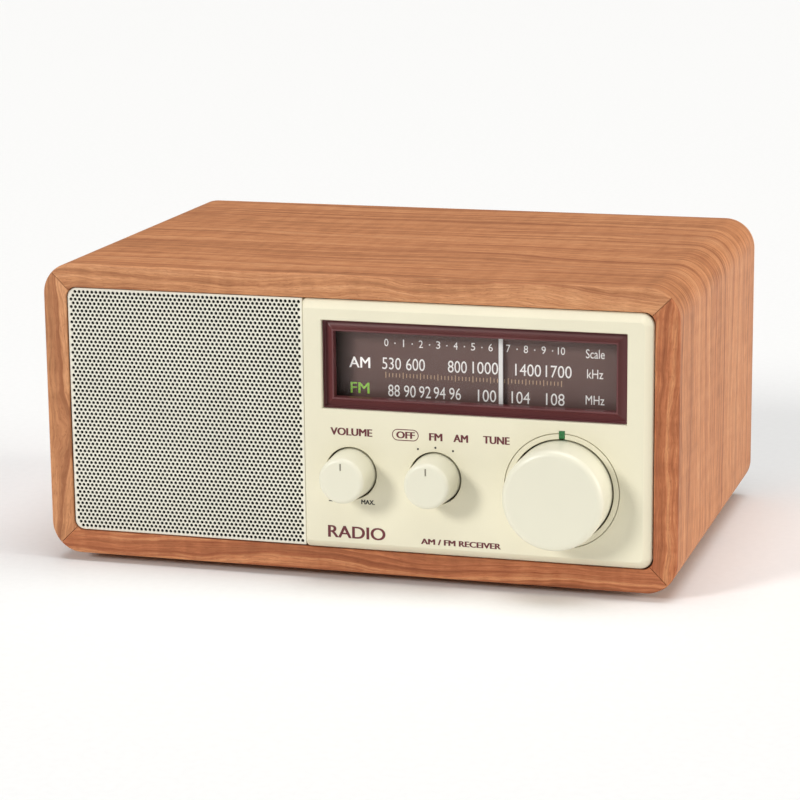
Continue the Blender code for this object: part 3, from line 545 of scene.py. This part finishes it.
def soften(obj, width):
    bevel = obj.modifiers.new("soften", "BEVEL")
    bevel.width = width * MM
    bevel.segments = 2
    bevel.limit_method = "ANGLE"
    bevel.angle_limit = math.radians(BEVEL_ANGLE)


def apply_modifiers(obj):
    graph = bpy.context.evaluated_depsgraph_get()
    made = bpy.data.meshes.new_from_object(obj.evaluated_get(graph))
    obj.modifiers.clear()
    obj.data = made


def carve(obj, *cutters):
    """Cuts the cutters out of the piece and removes them."""
    for cutter in cutters:
        boolean = obj.modifiers.new("carve", "BOOLEAN")
        boolean.operation = "DIFFERENCE"
        boolean.object = cutter
        boolean.solver = "EXACT"
    apply_modifiers(obj)
    for cutter in cutters:
        bpy.data.objects.remove(cutter, do_unlink=True)
    return obj


def merge(name, pieces):
    """One object from several, as separate bodies in one mesh."""
    edit = bmesh.new()
    for piece in pieces:
        edit.from_mesh(piece.data)
        bpy.data.objects.remove(piece, do_unlink=True)
    mesh = bpy.data.meshes.new(name)
    edit.to_mesh(mesh)
    edit.free()
    made = bpy.data.objects.new(name, mesh)
    bpy.context.scene.collection.objects.link(made)
    return made


def finish_piece(obj, look, body, slot, *nodes, smooth=32):
    """Gives a piece its material, its shading and its place on a body, and hides the nodes that it stands
    for.
    """
    obj.data.materials.clear()
    obj.data.materials.append(LOOKS[look])
    obj.data.shade_smooth()
    obj.data.set_sharp_from_angle(angle=math.radians(smooth))
    weigh = obj.modifiers.new("flat_faces", "WEIGHTED_NORMAL")
    weigh.keep_sharp = True
    weigh.weight = 60
    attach(obj, body)
    if nodes:
        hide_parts(*nodes)
    return obj


# ---------------------------------------------------------------- camera, lights and floor


def camera():
    data = bpy.data.cameras.new("camera")
    made = bpy.data.objects.new("camera", data)
    data.lens = LENS
    data.sensor_width = SENSOR
    data.clip_end = 50.0
    made.location = CAMERA_PLACE
    made.rotation_euler = [math.radians(angle) for angle in CAMERA_ANGLES]
    bpy.context.scene.collection.objects.link(made)
    bpy.context.scene.camera = made


def soft_sun(name, direction, strength, angle, colour=(1.0, 1.0, 1.0)):
    """A wide, even light that shines from this direction. Its angle in degrees softens its shadows."""
    data = bpy.data.lights.new(name, "SUN")
    data.energy = strength
    data.angle = math.radians(angle)
    data.color = colour
    made = bpy.data.objects.new(name, data)
    made.rotation_euler = Vector(direction).to_track_quat("Z", "Y").to_euler()
    bpy.context.scene.collection.objects.link(made)


def studio():
    world = bpy.data.worlds.new("studio")
    world.use_nodes = True
    bpy.context.scene.world = world
    background = world.node_tree.nodes["Background"]
    background.inputs["Color"].default_value = (1.0, 1.0, 1.0, 1.0)
    background.inputs["Strength"].default_value = WORLD_LIGHT
    bpy.context.scene.view_settings.view_transform = "Standard"

    soft_sun("key_light", (-0.56, -0.74, 0.42), 1.77, 15.0, (1.0, 0.985, 0.955))
    soft_sun("top_light", (0.10, -0.03, 1.0), 1.88, 45.0)
    soft_sun("right_light", (1.0, 0.02, 0.30), 1.95, 35.0, (1.0, 0.965, 0.885))

    floor_mesh = bpy.data.meshes.new("floor")
    edit = bmesh.new()
    bmesh.ops.create_circle(edit, cap_ends=True, segments=96, radius=FLOOR_RADIUS)
    edit.to_mesh(floor_mesh)
    edit.free()
    floor = bpy.data.objects.new("floor", floor_mesh)
    floor.location.z = CAD_BOX[0].z - FLOOR_GAP
    look = Look("floor_paper", 0.8)
    fine = look.noise(look.position(), (3.0, 3.0, 3.0), 2.0)
    look.set("Base Color", look.ramp(fine, [(0.3, (0.865, 0.868, 0.872)), (0.7, (0.885, 0.888, 0.892))]))
    floor_mesh.materials.append(look.material)
    bpy.context.scene.collection.objects.link(floor)


# ---------------------------------------------------------------- cabinet


def frame_edge(share):
    """The outline between the cabinet's outer edge, at 0, and its front opening, at 1."""
    outer = rectangle(LEFT, RIGHT, 0.0, HEIGHT, CORNER, steps=CORNER_STEPS)
    inner = rectangle(
        LEFT + BORDER, RIGHT - BORDER, BORDER, HEIGHT - BORDER, INNER_CORNER, steps=CORNER_STEPS
    )
    return [(a[0] + (b[0] - a[0]) * share, a[1] + (b[1] - a[1]) * share) for a, b in zip(outer, inner)]


def lengths(outline):
    """How far along a closed outline each of its points lies."""
    run = [0.0]
    for a, b in zip(outline, outline[1:]):
        run.append(run[-1] + math.dist(a, b))
    return run


def seam_outline(inset):
    """The outline with one more point in the middle of its underside, where the veneer starts and ends."""
    outline = frame_edge(inset / BORDER)
    half = len(outline)
    middle = ((outline[0][0] + outline[half - 1][0]) / 2, outline[0][1])
    return [middle, *outline, middle]


def cabinet():
    """The folded box. Its veneer runs over the top and down the sides, lapping the front strips' backs."""
    section = [(0.0, LAP), (0.0, DEPTH - EDGE_FILLET)]
    section += [
        (EDGE_FILLET - x, DEPTH - EDGE_FILLET + y) for x, y in arc(0, 0, EDGE_FILLET, 0, 90, 4)[1:]
    ]
    section += [(BORDER - 0.4, DEPTH), (BORDER, DEPTH - 0.4), (BORDER, 3.4), (1.6, 3.4), (1.6, LAP)]
    loops, grain = [], []
    run = lengths(seam_outline(0.0))
    for inset, y in section:
        loops.append(raised(seam_outline(inset), y))
        grain += [(s, y + inset, 0.0) for s in run]
    shell = loft("wood_cabinet", loops, ring=True, closed=False, grain=grain)
    finish_piece(shell, "veneer", "cabinet", "cherry_wood", "cabinet_shell")


def front_strips():
    """Four mitred strips, each with its own grain, a rounded outer edge and a hairline at each mitre."""
    section = [(1.7, 3.0), (1.7, LAP - 0.1), (0.0, LAP - 0.1), (0.0, EDGE_FILLET)]
    section += [(EDGE_FILLET * (1 - math.cos(a)), EDGE_FILLET * (1 - math.sin(a))) for a in (0.4, 0.8, 1.2)]
    section += [(EDGE_FILLET, 0.0), (BORDER / 2, 0.0), (BORDER - 0.35, 0.0)]
    section += [(BORDER - 0.1, 0.1), (BORDER, 0.35), (BORDER, 3.0)]
    count = CORNER_STEPS + 1
    names = ("bottom", "right", "top", "left")
    for side, name in enumerate(names):
        half = CORNER_STEPS // 2
        first = (side * count - count + half) % (4 * count)
        # Strip 0 runs along the bottom, from the middle of the last corner to the middle of the first one.
        loops, grain = [], []
        for inset, y in section:
            outline = frame_edge(inset / BORDER)
            picked = [outline[(first + i) % len(outline)] for i in range(count + 1)]
            picked = shorten(picked, MITRE_GAP)
            loops.append(raised(picked, y))
            grain += [board_grain(side, x, y, z) for x, z in picked]
        strip = loft(f"frame_strip_{name}", loops, ring=True, closed=False, grain=grain)
        # The right and bottom strips take the edging's darker copy, painted shade.
        look = "painted_shade_edging" if name in ("right", "bottom") else "edging"
        finish_piece(strip, look, "cabinet", "cherry_wood", f"front_frame_{name}")


def board_grain(side, x, y, z):
    """A front strip's grain runs straight along it and turns over its front edge. Each strip reads the
    wood's texture from a place far from the others'."""
    along = z if side % 2 else x
    from_edge = (z, RIGHT - x, HEIGHT - z, x - LEFT)[side]
    return along + BOARD_APART[0] * side, from_edge - y, BOARD_APART[1] * side


def shorten(points, amount):
    """Moves the two end points of a line of points in by this amount."""
    out = list(points)
    for end, following in ((0, 1), (-1, -2)):
        a, b = out[end], out[following]
        share = amount / math.dist(a, b)
        out[end] = (a[0] + (b[0] - a[0]) * share, a[1] + (b[1] - a[1]) * share)
    return out


def feet():
    for number in range(1, 5):
        node = f"rubber_foot_{number}"
        x0, x1, y0, y1, z0, z1 = edges(node)
        x, y, radius = (x0 + x1) / 2, (y0 + y1) / 2, (x1 - x0) / 2
        profile = [(radius, z1), (radius, z0 + 0.8), (radius - 0.25, z0 + 0.25), (radius - 0.8, z0)]
        profile += [(3.4, z0), (3.0, z0 + 0.3), (2.6, z0 + 1.4)]
        loops = []
        for r, z in profile:
            loops.append([(px, py, z) for px, py in arc(x, y, r, 0, 360, 48)[:-1]])
        foot = loft(f"foot_{number}", loops)
        finish_piece(foot, "rubber", "cabinet", "black_rubber", node)


# ---------------------------------------------------------------- speaker side


def grille_cells():
    """Middles of the grille's holes, rows staggered by half a pitch."""
    x0, _, _, _, z0, _ = GRILLE
    start_x = x0 + SIDE_MARGIN + HOLE_PITCH / 2
    start_z = z0 + END_MARGIN + ROW_PITCH * 2 / 3
    cells = []
    for row in range(ROWS):
        staggered = row % 2
        for column in range(COLUMNS - staggered):
            x, z = start_x + (column + staggered / 2) * HOLE_PITCH, start_z + row * ROW_PITCH
            if inside_corners(x, z):
                cells.append((x, z))
    return cells


def inside_corners(x, z):
    """Whether a whole cell fits within the sheet's two rounded corners."""
    x0, _, _, _, z0, z1 = GRILLE
    corner = GRILLE_CORNER
    beyond_x = x0 + corner - x
    beyond_z = max(z0 + corner - z, z - (z1 - corner))
    return beyond_x < 0 or beyond_z < 0 or math.hypot(beyond_x, beyond_z) < corner - 1.3


def add_cell(edit, middle):
    """One hole in its six-sided cell: the face round it and its wall."""
    x, z = middle
    near, far = ROW_PITCH / 3, ROW_PITCH * 2 / 3
    half = HOLE_PITCH / 2
    corners = ((half, near), (0, far), (-half, near), (-half, -near), (0, -far), (half, -near))
    outer = [edit.verts.new(at(x + a, GRILLE[2], z + b)) for a, b in corners]
    hole = arc(x, z, HOLE_RADIUS, 30, 390, 12)[:-1]
    front = [edit.verts.new(at(a, GRILLE[2], b)) for a, b in hole]
    back = [edit.verts.new(at(a, GRILLE[2] + SHEET, b)) for a, b in hole]
    for i in range(6):
        j = (i + 1) % 6
        edit.faces.new((outer[i], outer[j], front[2 * j], front[2 * i + 1], front[2 * i]))
    for i in range(12):
        j = (i + 1) % 12
        edit.faces.new((front[i], front[j], back[j], back[i]))


def grille():
    """The perforated sheet: a plain border whose edge rolls back, round about 3,400 real holes."""
    x0, x1, y, _, z0, z1 = GRILLE
    edit = bmesh.new()
    for cell in grille_cells():
        add_cell(edit, cell)
    bmesh.ops.remove_doubles(edit, verts=edit.verts, dist=0.01 * MM)
    inner = [e for e in edit.edges if e.is_boundary and all(v.co.y < at(0, y + 0.01, 0).y for v in e.verts)]
    roll = [(0.3, 0.0), (0.13, 0.06), (0.03, 0.2), (0.0, 0.5), (0.0, 1.6)]
    previous, rim = None, []
    for inset, back in roll:
        outline = rectangle(x0 + inset, x1 - inset, z0 + inset, z1 - inset, GRILLE_CORNER - inset, 0.4)
        mirrored = [(x0 + x1 - x, z) for x, z in reversed(outline)]
        loop = [edit.verts.new(at(x, y + back, z)) for x, z in mirrored]
        if previous:
            for i in range(len(loop)):
                j = (i + 1) % len(loop)
                edit.faces.new((previous[i], previous[j], loop[j], loop[i]))
        else:
            rim = [edit.edges.new((loop[i], loop[(i + 1) % len(loop)])) for i in range(len(loop))]
        previous = loop
    bmesh.ops.triangle_fill(edit, use_beauty=True, edges=inner + rim)
    bmesh.ops.recalc_face_normals(edit, faces=edit.faces)
    mesh = bpy.data.meshes.new("perforated_grille")
    edit.to_mesh(mesh)
    edit.free()
    made = bpy.data.objects.new("perforated_grille", mesh)
    bpy.context.scene.collection.objects.link(made)
    finish_piece(made, "cream_paint", "cabinet", "cream_metal", "speaker_grille")


# ---------------------------------------------------------------- front panel and dial


def rim_curve(share):
    """How far in and how far forward the panel's rim has come: a soft bevel, flatter than a quarter round."""
    angle = math.radians(90 * share)
    softness = 1.7
    return 1 - math.cos(angle) ** softness, math.sin(angle) ** softness


def panel_outline(inward):
    x0, x1, _, _, z0, z1 = PANEL
    wide, narrow = RIM_WIDTH * inward, RIM_LEFT * inward
    right = max(4.5 - wide, 1.6)
    left = max(1.5 - narrow, 0.5)
    return rectangle(x0 + narrow, x1 - wide, z0 + wide, z1 - wide, right, left)


def turned_cutter(middle, radius, edge, floor_y):
    """A cutter for a round hole with a small chamfer at the panel's face."""
    profile = [(radius + edge + 1.0, PANEL_FACE - 1.0), (radius, PANEL_FACE + edge), (radius, floor_y)]
    return turned("cutter", profile, middle)


def groove_cutter(middle, radius, width, depth):
    half = width / 2
    top = PANEL_FACE - 0.5
    profile = [(radius - half, top), (radius + half, top)]
    profile += [(radius + half, PANEL_FACE + depth), (radius - half, PANEL_FACE + depth)]
    return turned("cutter", profile, middle, ring=True)


def window_cutter(x0, x1, z0, z1, edge):
    loops = []
    for out, y in ((edge + 1.0, PANEL_FACE - 1.0), (0.0, PANEL_FACE + edge), (0.0, PANEL[3] + 1.0)):
        loops.append(raised(rectangle(x0 - out, x1 + out, z0 - out, z1 + out, 0.25 + out, steps=2), y))
    return loft("cutter", loops)


def front_panel():
    back = PANEL[3]
    loops = [raised(panel_outline(0.0), back), raised(panel_outline(0.0), PANEL_FACE + RIM_DEPTH)]
    for step in range(1, 11):
        inward, forward = rim_curve(step / 10)
        loops.append(raised(panel_outline(inward), PANEL_FACE + RIM_DEPTH * (1 - forward)))
    panel = loft("cream_front_panel", loops)
    cutters = [
        window_cutter(*WINDOW, 0.3),
        turned_cutter(VOLUME, WELL, 0.12, back + 1),
        turned_cutter(BAND, WELL, 0.12, back + 1),
        turned_cutter(TUNE, TUNE_WELL, 0.12, back + 1),
        groove_cutter(TUNE, TUNE_RING, 0.36, 0.9),
    ]
    x0, x1, _, _, z0, z1 = LAMP
    slot = (x0 - 0.12, PANEL_FACE - 1, z0 - 0.4), (x1 + 0.12, back + 1, z1 + 0.12)
    cutters.append(box_piece("cutter", *slot))
    carve(panel, *cutters)
    finish_piece(panel, "cream_panel", "cabinet", "cream_plastic", "front_panel", smooth=25)

    lamp = box_piece("green_tuning_lamp", (x0, PANEL_FACE - 0.12, z0), (x1, LAMP[3], z1), 0.15)
    finish_piece(lamp, "green_lens", "cabinet", "green_lens", "tuning_lamp")


def bezel():
    """A trough round the dial: a deep outer edge, a hollow slope up to a lip, then the inner wall."""
    x0, x1, z0, z1 = WINDOW
    section = [(0.12, 2.4), (0.12, -0.6), (0.3, -0.75), (0.42, -0.6), (0.5, 0.5), (0.8, 0.75)]
    section += [(1.5, 0.6), (2.2, 0.3), (2.8, -0.1), (3.25, -0.5), (3.55, -0.8), (3.75, -0.86)]
    section += [(4.0, -0.84), (4.13, -0.72), (4.17, -0.5), (4.17, 2.4)]
    loops = []
    for inset, y in section:
        radius = max(0.3, 0.5 - inset / 8)
        outline = rectangle(x0 + inset, x1 - inset, z0 + inset, z1 - inset, radius, steps=4)
        loops.append(raised(outline, y))
    made = loft("maroon_bezel", loops, ring=True)
    finish_piece(made, "maroon", "cabinet", "maroon_plastic", "dial_bezel", smooth=24)


def glyphs(text):
    """A line of text as a mesh, in the font's own units."""
    curve = bpy.data.curves.new("text", "FONT")
    curve.body = text
    curve.extrude = 0.02
    curve.resolution_u = 5
    guide = bpy.data.objects.new("text", curve)
    bpy.context.scene.collection.objects.link(guide)
    graph = bpy.context.evaluated_depsgraph_get()
    mesh = bpy.data.meshes.new_from_object(guide.evaluated_get(graph))
    bpy.data.objects.remove(guide, do_unlink=True)
    return mesh


def lettering(name, items, face, look, body, slot, bold=0.0):
    """Printed text standing a hair in front of a face. Items are (text, x middle, z middle, width, height).
    Bold text is laid down again this far to each side, which thickens its strokes."""
    edit = bmesh.new()
    for text, x, z, width, height in items:
        for layer, aside in enumerate((-bold, bold, 0.0) if bold else (0.0,)):
            mesh = glyphs(text)
            across = [v.co.x for v in mesh.vertices]
            up = [v.co.y for v in mesh.vertices]
            deep = max(v.co.z for v in mesh.vertices)
            wide, tall = max(across) - min(across), max(up) - min(up)
            for vertex in mesh.vertices:
                u = x + aside + ((vertex.co.x - min(across)) / wide - 0.5) * (width - 2 * bold)
                v = z + ((vertex.co.y - min(up)) / tall - 0.5) * height
                vertex.co = at(u, face - vertex.co.z / deep * (INK + LAYER * layer), v)
            edit.from_mesh(mesh)
            bpy.data.meshes.remove(mesh)
    bmesh.ops.remove_doubles(edit, verts=edit.verts, dist=1e-7)
    mesh = bpy.data.meshes.new(name)
    edit.to_mesh(mesh)
    edit.free()
    made = bpy.data.objects.new(name, mesh)
    bpy.context.scene.collection.objects.link(made)
    finish_piece(made, look, body, slot)
    made.modifiers.clear()
    return made


def dial_scale():
    face = PLATE[2]
    digit_pitch, first = 6.5, 11.1
    items = [(str(n), first + digit_pitch * n, 85.7, 2.6 if n == 10 else 1.55, 2.75) for n in range(11)]
    items[1] = ("1", first + digit_pitch, 85.7, 0.42, 2.75)
    items += [(".", first + digit_pitch * (n + 0.5), 85.6, 0.5, 0.5) for n in range(10)]
    medium = (("530", 13.0), ("600", 22.0), ("800", 37.7))
    items += [(text, x, 78.0, 7.1, 4.4) for text, x in medium]
    items += [(text, x, 78.1, 9.5, 4.4) for text, x in (("1000", 48.1), ("1400", 63.9), ("1700", 75.1))]
    short = (("88", 13.8), ("90", 19.8), ("92", 25.5), ("94", 31.0), ("96", 36.8))
    items += [(text, x, 68.0, 4.4, 4.4) for text, x in short]
    items += [(text, x, 67.9, 6.8, 4.4) for text, x in (("100", 48.7), ("104", 61.2), ("108", 73.9))]
    items += [("Scale", 88.4, 85.2, 6.8, 3.3), ("kHz", 88.4, 77.9, 5.9, 3.3), ("MHz", 88.4, 68.4, 6.8, 3.3)]
    lettering("dial_numbers", items, face, "white_ink", "cabinet", "white_plastic")
    lettering("dial_am", [("AM", 0.9, 77.9, 8.0, 4.0)], face, "lit_ink", "cabinet", "white_plastic", 0.08)
    lettering("dial_fm", [("FM", 0.9, 68.4, 7.2, 4.0)], face, "green_ink", "cabinet", "green_lens", 0.08)

    ticks = []
    count, start, end = 51, 10.8, 76.2
    for n in range(count):
        x = start + (end - start) * n / (count - 1)
        tall = 1.15 if n % 5 == 0 else 0.75
        low, high = (x - 0.16, face - INK, 73.7 - tall), (x + 0.16, face + INK, 73.7 + tall)
        ticks.append(box_piece(f"tick_{n}", low, high))
    finish_piece(merge("dial_ticks", ticks), "amber_ink", "cabinet", "white_plastic")


def outline_print(name, outline, inner, face, look):
    loops = [raised(outline, face - INK), raised(outline, face + INK)]
    loops += [raised(inner, face + INK), raised(inner, face - INK)]
    finish_piece(loft(name, loops, ring=True), look, "cabinet", "maroon_plastic")


def panel_print():
    face = PANEL_FACE
    items = [
        ("VOLUME", 0.1, 53.8, 15.9, 2.75),
        ("OFF", 20.6, 53.8, 7.0, 2.5),
        ("FM", 31.9, 53.7, 5.0, 2.75),
        ("AM", 41.2, 53.7, 5.5, 2.75),
        ("TUNE", 54.4, 53.8, 9.8, 2.75),
        ("RADIO", 1.6, 16.0, 22.0, 4.6),
        ("AM / FM RECEIVER", 41.0, 14.5, 30.0, 2.1),
    ]
    lettering("panel_labels", items, face, "maroon_ink", "cabinet", "maroon_plastic", 0.17)
    outer = rectangle(15.5, 25.5, 51.65, 55.95, 2.15)
    inner = rectangle(15.8, 25.2, 51.95, 55.65, 1.85)
    outline_print("off_outline", outer, inner, face, "maroon_ink")
    small = [("MAX.", 6.1, 27.8, 5.2, 1.7)]
    small += [(".", x, z, 0.75, 0.75) for x, z in ((25.2, 48.9), (31.75, 49.75), (38.3, 48.9))]
    lettering("panel_marks", small, face, "black_ink", "cabinet", "black_plastic", 0.1)
    start = box_piece("volume_start_mark", (-8.9, face - INK, 27.3), (-7.4, face + INK, 27.7))
    finish_piece(start, "black_ink", "cabinet", "black_plastic")


# ---------------------------------------------------------------- knobs


def knob(node, body, middle, front_edge, dished, index):
    """A turned knob with a rounded front edge, a hollow back and, on the small ones, an engraved index whose
    floor has a grey fill, painted shade.
    """
    x0, x1, front, back, _, _ = edges(node)
    outer = (x1 - x0) / 2
    face_radius = outer - (0.95 if index else 0.15)
    profile = [(0.4, front + dished), (face_radius * 0.55, front + dished * 0.7)]
    profile += [(face_radius - front_edge - 0.5, front + dished * 0.12)]
    profile += arc(face_radius - front_edge, front + front_edge, front_edge, -90, 0, 10)
    profile += [(outer - 0.2, back - 0.6), (outer - 0.28, back - 0.1), (outer - 0.5, back)]
    hollow, boss, bore = front + 5.0, 5.0, 3.2
    profile += [(outer - 1.9, back), (outer - 2.2, hollow), (boss + 1.0, hollow), (boss, hollow + 0.5)]
    profile += [(boss, back), (bore, back), (bore, hollow + 0.5)]
    made = turned(node + "_cap", profile, middle, steps=160)
    if index:
        x, z = middle
        half = 0.28
        slot = rectangle(x - half, x + half, z + 3.9, z + 6.7, half, steps=6)
        cutter = loft("cutter", [raised(slot, front - 1.0), raised(slot, front + 0.38)])
        carve(made, cutter)
        # A grey fill on the groove's floor: painted shade in the engraved line.
        fill = loft(node + "_index_groove_shade", [raised(slot, front + 0.36), raised(slot, front + 0.6)])
        finish_piece(fill, "index", body, "knob_plastic")
    finish_piece(made, "cream_knob", body, "knob_plastic", node, smooth=28)


def knobs():
    knob("volume_knob", "volume_control", VOLUME, 1.7, 0.05, True)
    knob("band_knob", "band_selector", BAND, 1.7, 0.05, True)
    knob("tune_knob", "tuning_control", TUNE, 2.5, 0.1, False)


# ---------------------------------------------------------------- rear


def rear_screws():
    for number in range(1, 5):
        node = f"rear_screw_{number}"
        x0, x1, y0, y1, _, _ = edges(node)
        middle = centre(node)
        radius = (x1 - x0) / 2
        profile = [(1.5, y0), (1.5, y1 - 1.4), (radius, y1 - 1.4), (radius, y1 - 1.1)]
        profile += [(radius * 0.85, y1 - 0.45), (radius * 0.6, y1 - 0.12), (radius * 0.25, y1)]
        screw = turned(node + "_head", profile, middle, steps=40)
        x, z = middle
        reach = radius * 0.62
        across = box_piece("cutter", (x - reach, y1 - 0.9, z - 0.3), (x + reach, y1 + 1, z + 0.3))
        up = box_piece("cutter", (x - 0.3, y1 - 0.9, z - reach), (x + 0.3, y1 + 1, z + reach))
        carve(screw, across, up)
        finish_piece(screw, "screw_steel", "cabinet", "steel", node)


def mains_inlet():
    """A figure-of-eight appliance inlet with a chamfered rim and its two pins."""
    x, z = centre("mains_inlet")
    x0, x1, y0, face, z0, z1 = edges("mains_inlet")
    seat = face - 1.5
    lobe_sides = (-4.2, 4.2)
    steps = ((2.0, y0, 0.3), (2.0, seat, 0.3), (0.0, seat, 1.4), (0.0, face - 0.5, 1.4), (0.5, face, 1.0))
    loops = []
    for inset, y, radius in steps:
        loops.append(raised(rectangle(x0 + inset, x1 - inset, z0 + inset, z1 - inset, radius), y))
    shell = loft("inlet_shell", loops)
    waist = box_piece("cutter", (x - 4, face - 11.5, z - 3.0), (x + 4, face + 1, z + 3.0))
    lobes = [
        turned("cutter", [(4.1, face - 11.5), (4.1, face - 0.4), (5.3, face + 0.8)], (x + side, z), steps=48)
        for side in lobe_sides
    ]
    carve(shell, waist, *lobes)
    finish_piece(shell, "black_plastic", "cabinet", "black_plastic", "mains_inlet")
    pins = []
    for side in lobe_sides:
        profile = [(1.15, face - 11.6), (1.15, face - 3.0), (0.9, face - 2.4), (0.4, face - 2.2)]
        pins.append(turned("pin", profile, (x + side, z), steps=24))
    finish_piece(merge("mains_pins", pins), "pin_brass", "cabinet", "steel")


def headphone_jack():
    """A threaded bush with a knurled ring nut."""
    x0, x1, y0, y1, _, _ = edges("headphone_jack")
    middle = centre("headphone_jack")
    outer, bore = (x1 - x0) / 2, 1.8
    profile = [(4.0, y0), (4.0, y1 - 1.2), (outer, y1 - 1.2), (outer, y1 - 0.35), (outer - 0.35, y1 - 0.05)]
    profile += [(4.1, y1 - 0.05), (4.0, y1 - 0.3), (3.4, y1 - 0.3), (3.3, y1), (2.1, y1), (bore, y1 - 0.3)]
    profile += [(bore, y1 - 13.0)]
    bush = turned("jack_bush", profile, middle, steps=96)
    edit = bmesh.new()
    edit.from_mesh(bush.data)
    axis = at(middle[0], 0, middle[1])
    for vertex in edit.verts:
        away = Vector((vertex.co.x - axis.x, 0, vertex.co.z - axis.z))
        if away.length > (outer - 0.1) * MM:
            turn = round(math.degrees(math.atan2(away.z, away.x)) / 3.75)
            vertex.co -= away.normalized() * (0.14 * MM * (turn % 2))
    edit.to_mesh(bush.data)
    edit.free()
    finish_piece(bush, "nickel", "cabinet", "steel", "headphone_jack", smooth=24)


def rear_fittings():
    """The flared port, the mains inlet, the jack and the threaded aerial socket."""
    x0, x1, y0, y1, _, _ = edges("bass_port")
    outer = (x1 - x0) / 2
    tube, bore = outer - 4.0, outer - 6.0
    flare = arc(bore + 3.6, y1 - 3.6 - 0.2, 3.6, 180, 90, 8)
    profile = [(tube, y0), (tube, y1 - 1.6), (outer, y1 - 1.6), (outer, y1 - 0.5), (outer - 0.4, y1)]
    profile += [(r, y) for r, y in reversed(flare)] + [(bore, y0)]
    port = turned("flared_port", profile, centre("bass_port"), ring=True)
    finish_piece(port, "black_plastic", "cabinet", "black_plastic", "bass_port")

    mains_inlet()
    headphone_jack()
    x0, x1, y0, y1, _, _ = edges("aerial_socket")
    middle = centre("aerial_socket")
    profile = [(4.8, y0), (4.8, y1 - 2.7), (7.0, y1 - 2.7), (7.0, y1 - 1.9), (6.8, y1 - 1.7), (4.5, y1 - 1.7)]
    threads = 4
    for turn in range(threads):
        y = y1 - 1.6 + turn * 0.36
        profile += [(4.45, y), (4.8, y + 0.12), (4.8, y + 0.18)]
    profile += [(4.4, y1), (1.3, y1), (1.0, y1 - 0.3), (1.0, y1 - 7.0)]
    terminal = turned("aerial_terminal", profile, middle, steps=48)
    finish_piece(terminal, "brass", "cabinet", "brass", "aerial_socket")


# ---------------------------------------------------------------- finishes on the nodes that stay as they are

KEPT = {
    "cloth": ["grille_cloth"],
    "fibreboard": ["baffle_board", "rear_batten"],
    "steel": ["speaker_basket", "volume_shaft", "band_shaft", "tuning_shaft", "drive_plate", "pointer_rail"],
    "ferrite": ["speaker_magnet", "ferrite_rod"],
    "paper": ["speaker_cone", "dust_cap"],
    "surround": ["speaker_surround"],
    "lens": ["dial_lens"],
    "dial": ["dial_plate"],
    "white_plastic": ["dial_lamp", "idler_left", "idler_right", "drive_drum", "aerial_bracket"],
    "pointer": ["pointer"],
    "aluminium": ["volume_potentiometer", "capacitor_rotor", "capacitor_stator"],
    "black_plastic": ["band_switch", "pointer_carriage", "board_tray"],
    "dark_plastic": ["rear_panel"],
    "board": ["main_board"],
    "copper": ["transformer_coil", "aerial_coil"],
    "cord": ["dial_cord"],
    "screw_steel": ["capacitor_frame", "tuner_can", "transformer_core"],
}


def finish_kept_nodes():
    for look, nodes in KEPT.items():
        for node in nodes:
            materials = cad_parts[node].data.materials
            materials.clear()
            materials.append(LOOKS[look])


camera()
studio()
cabinet()
front_strips()
feet()
grille()
front_panel()
bezel()
dial_scale()
panel_print()
knobs()
rear_screws()
rear_fittings()
finish_kept_nodes()
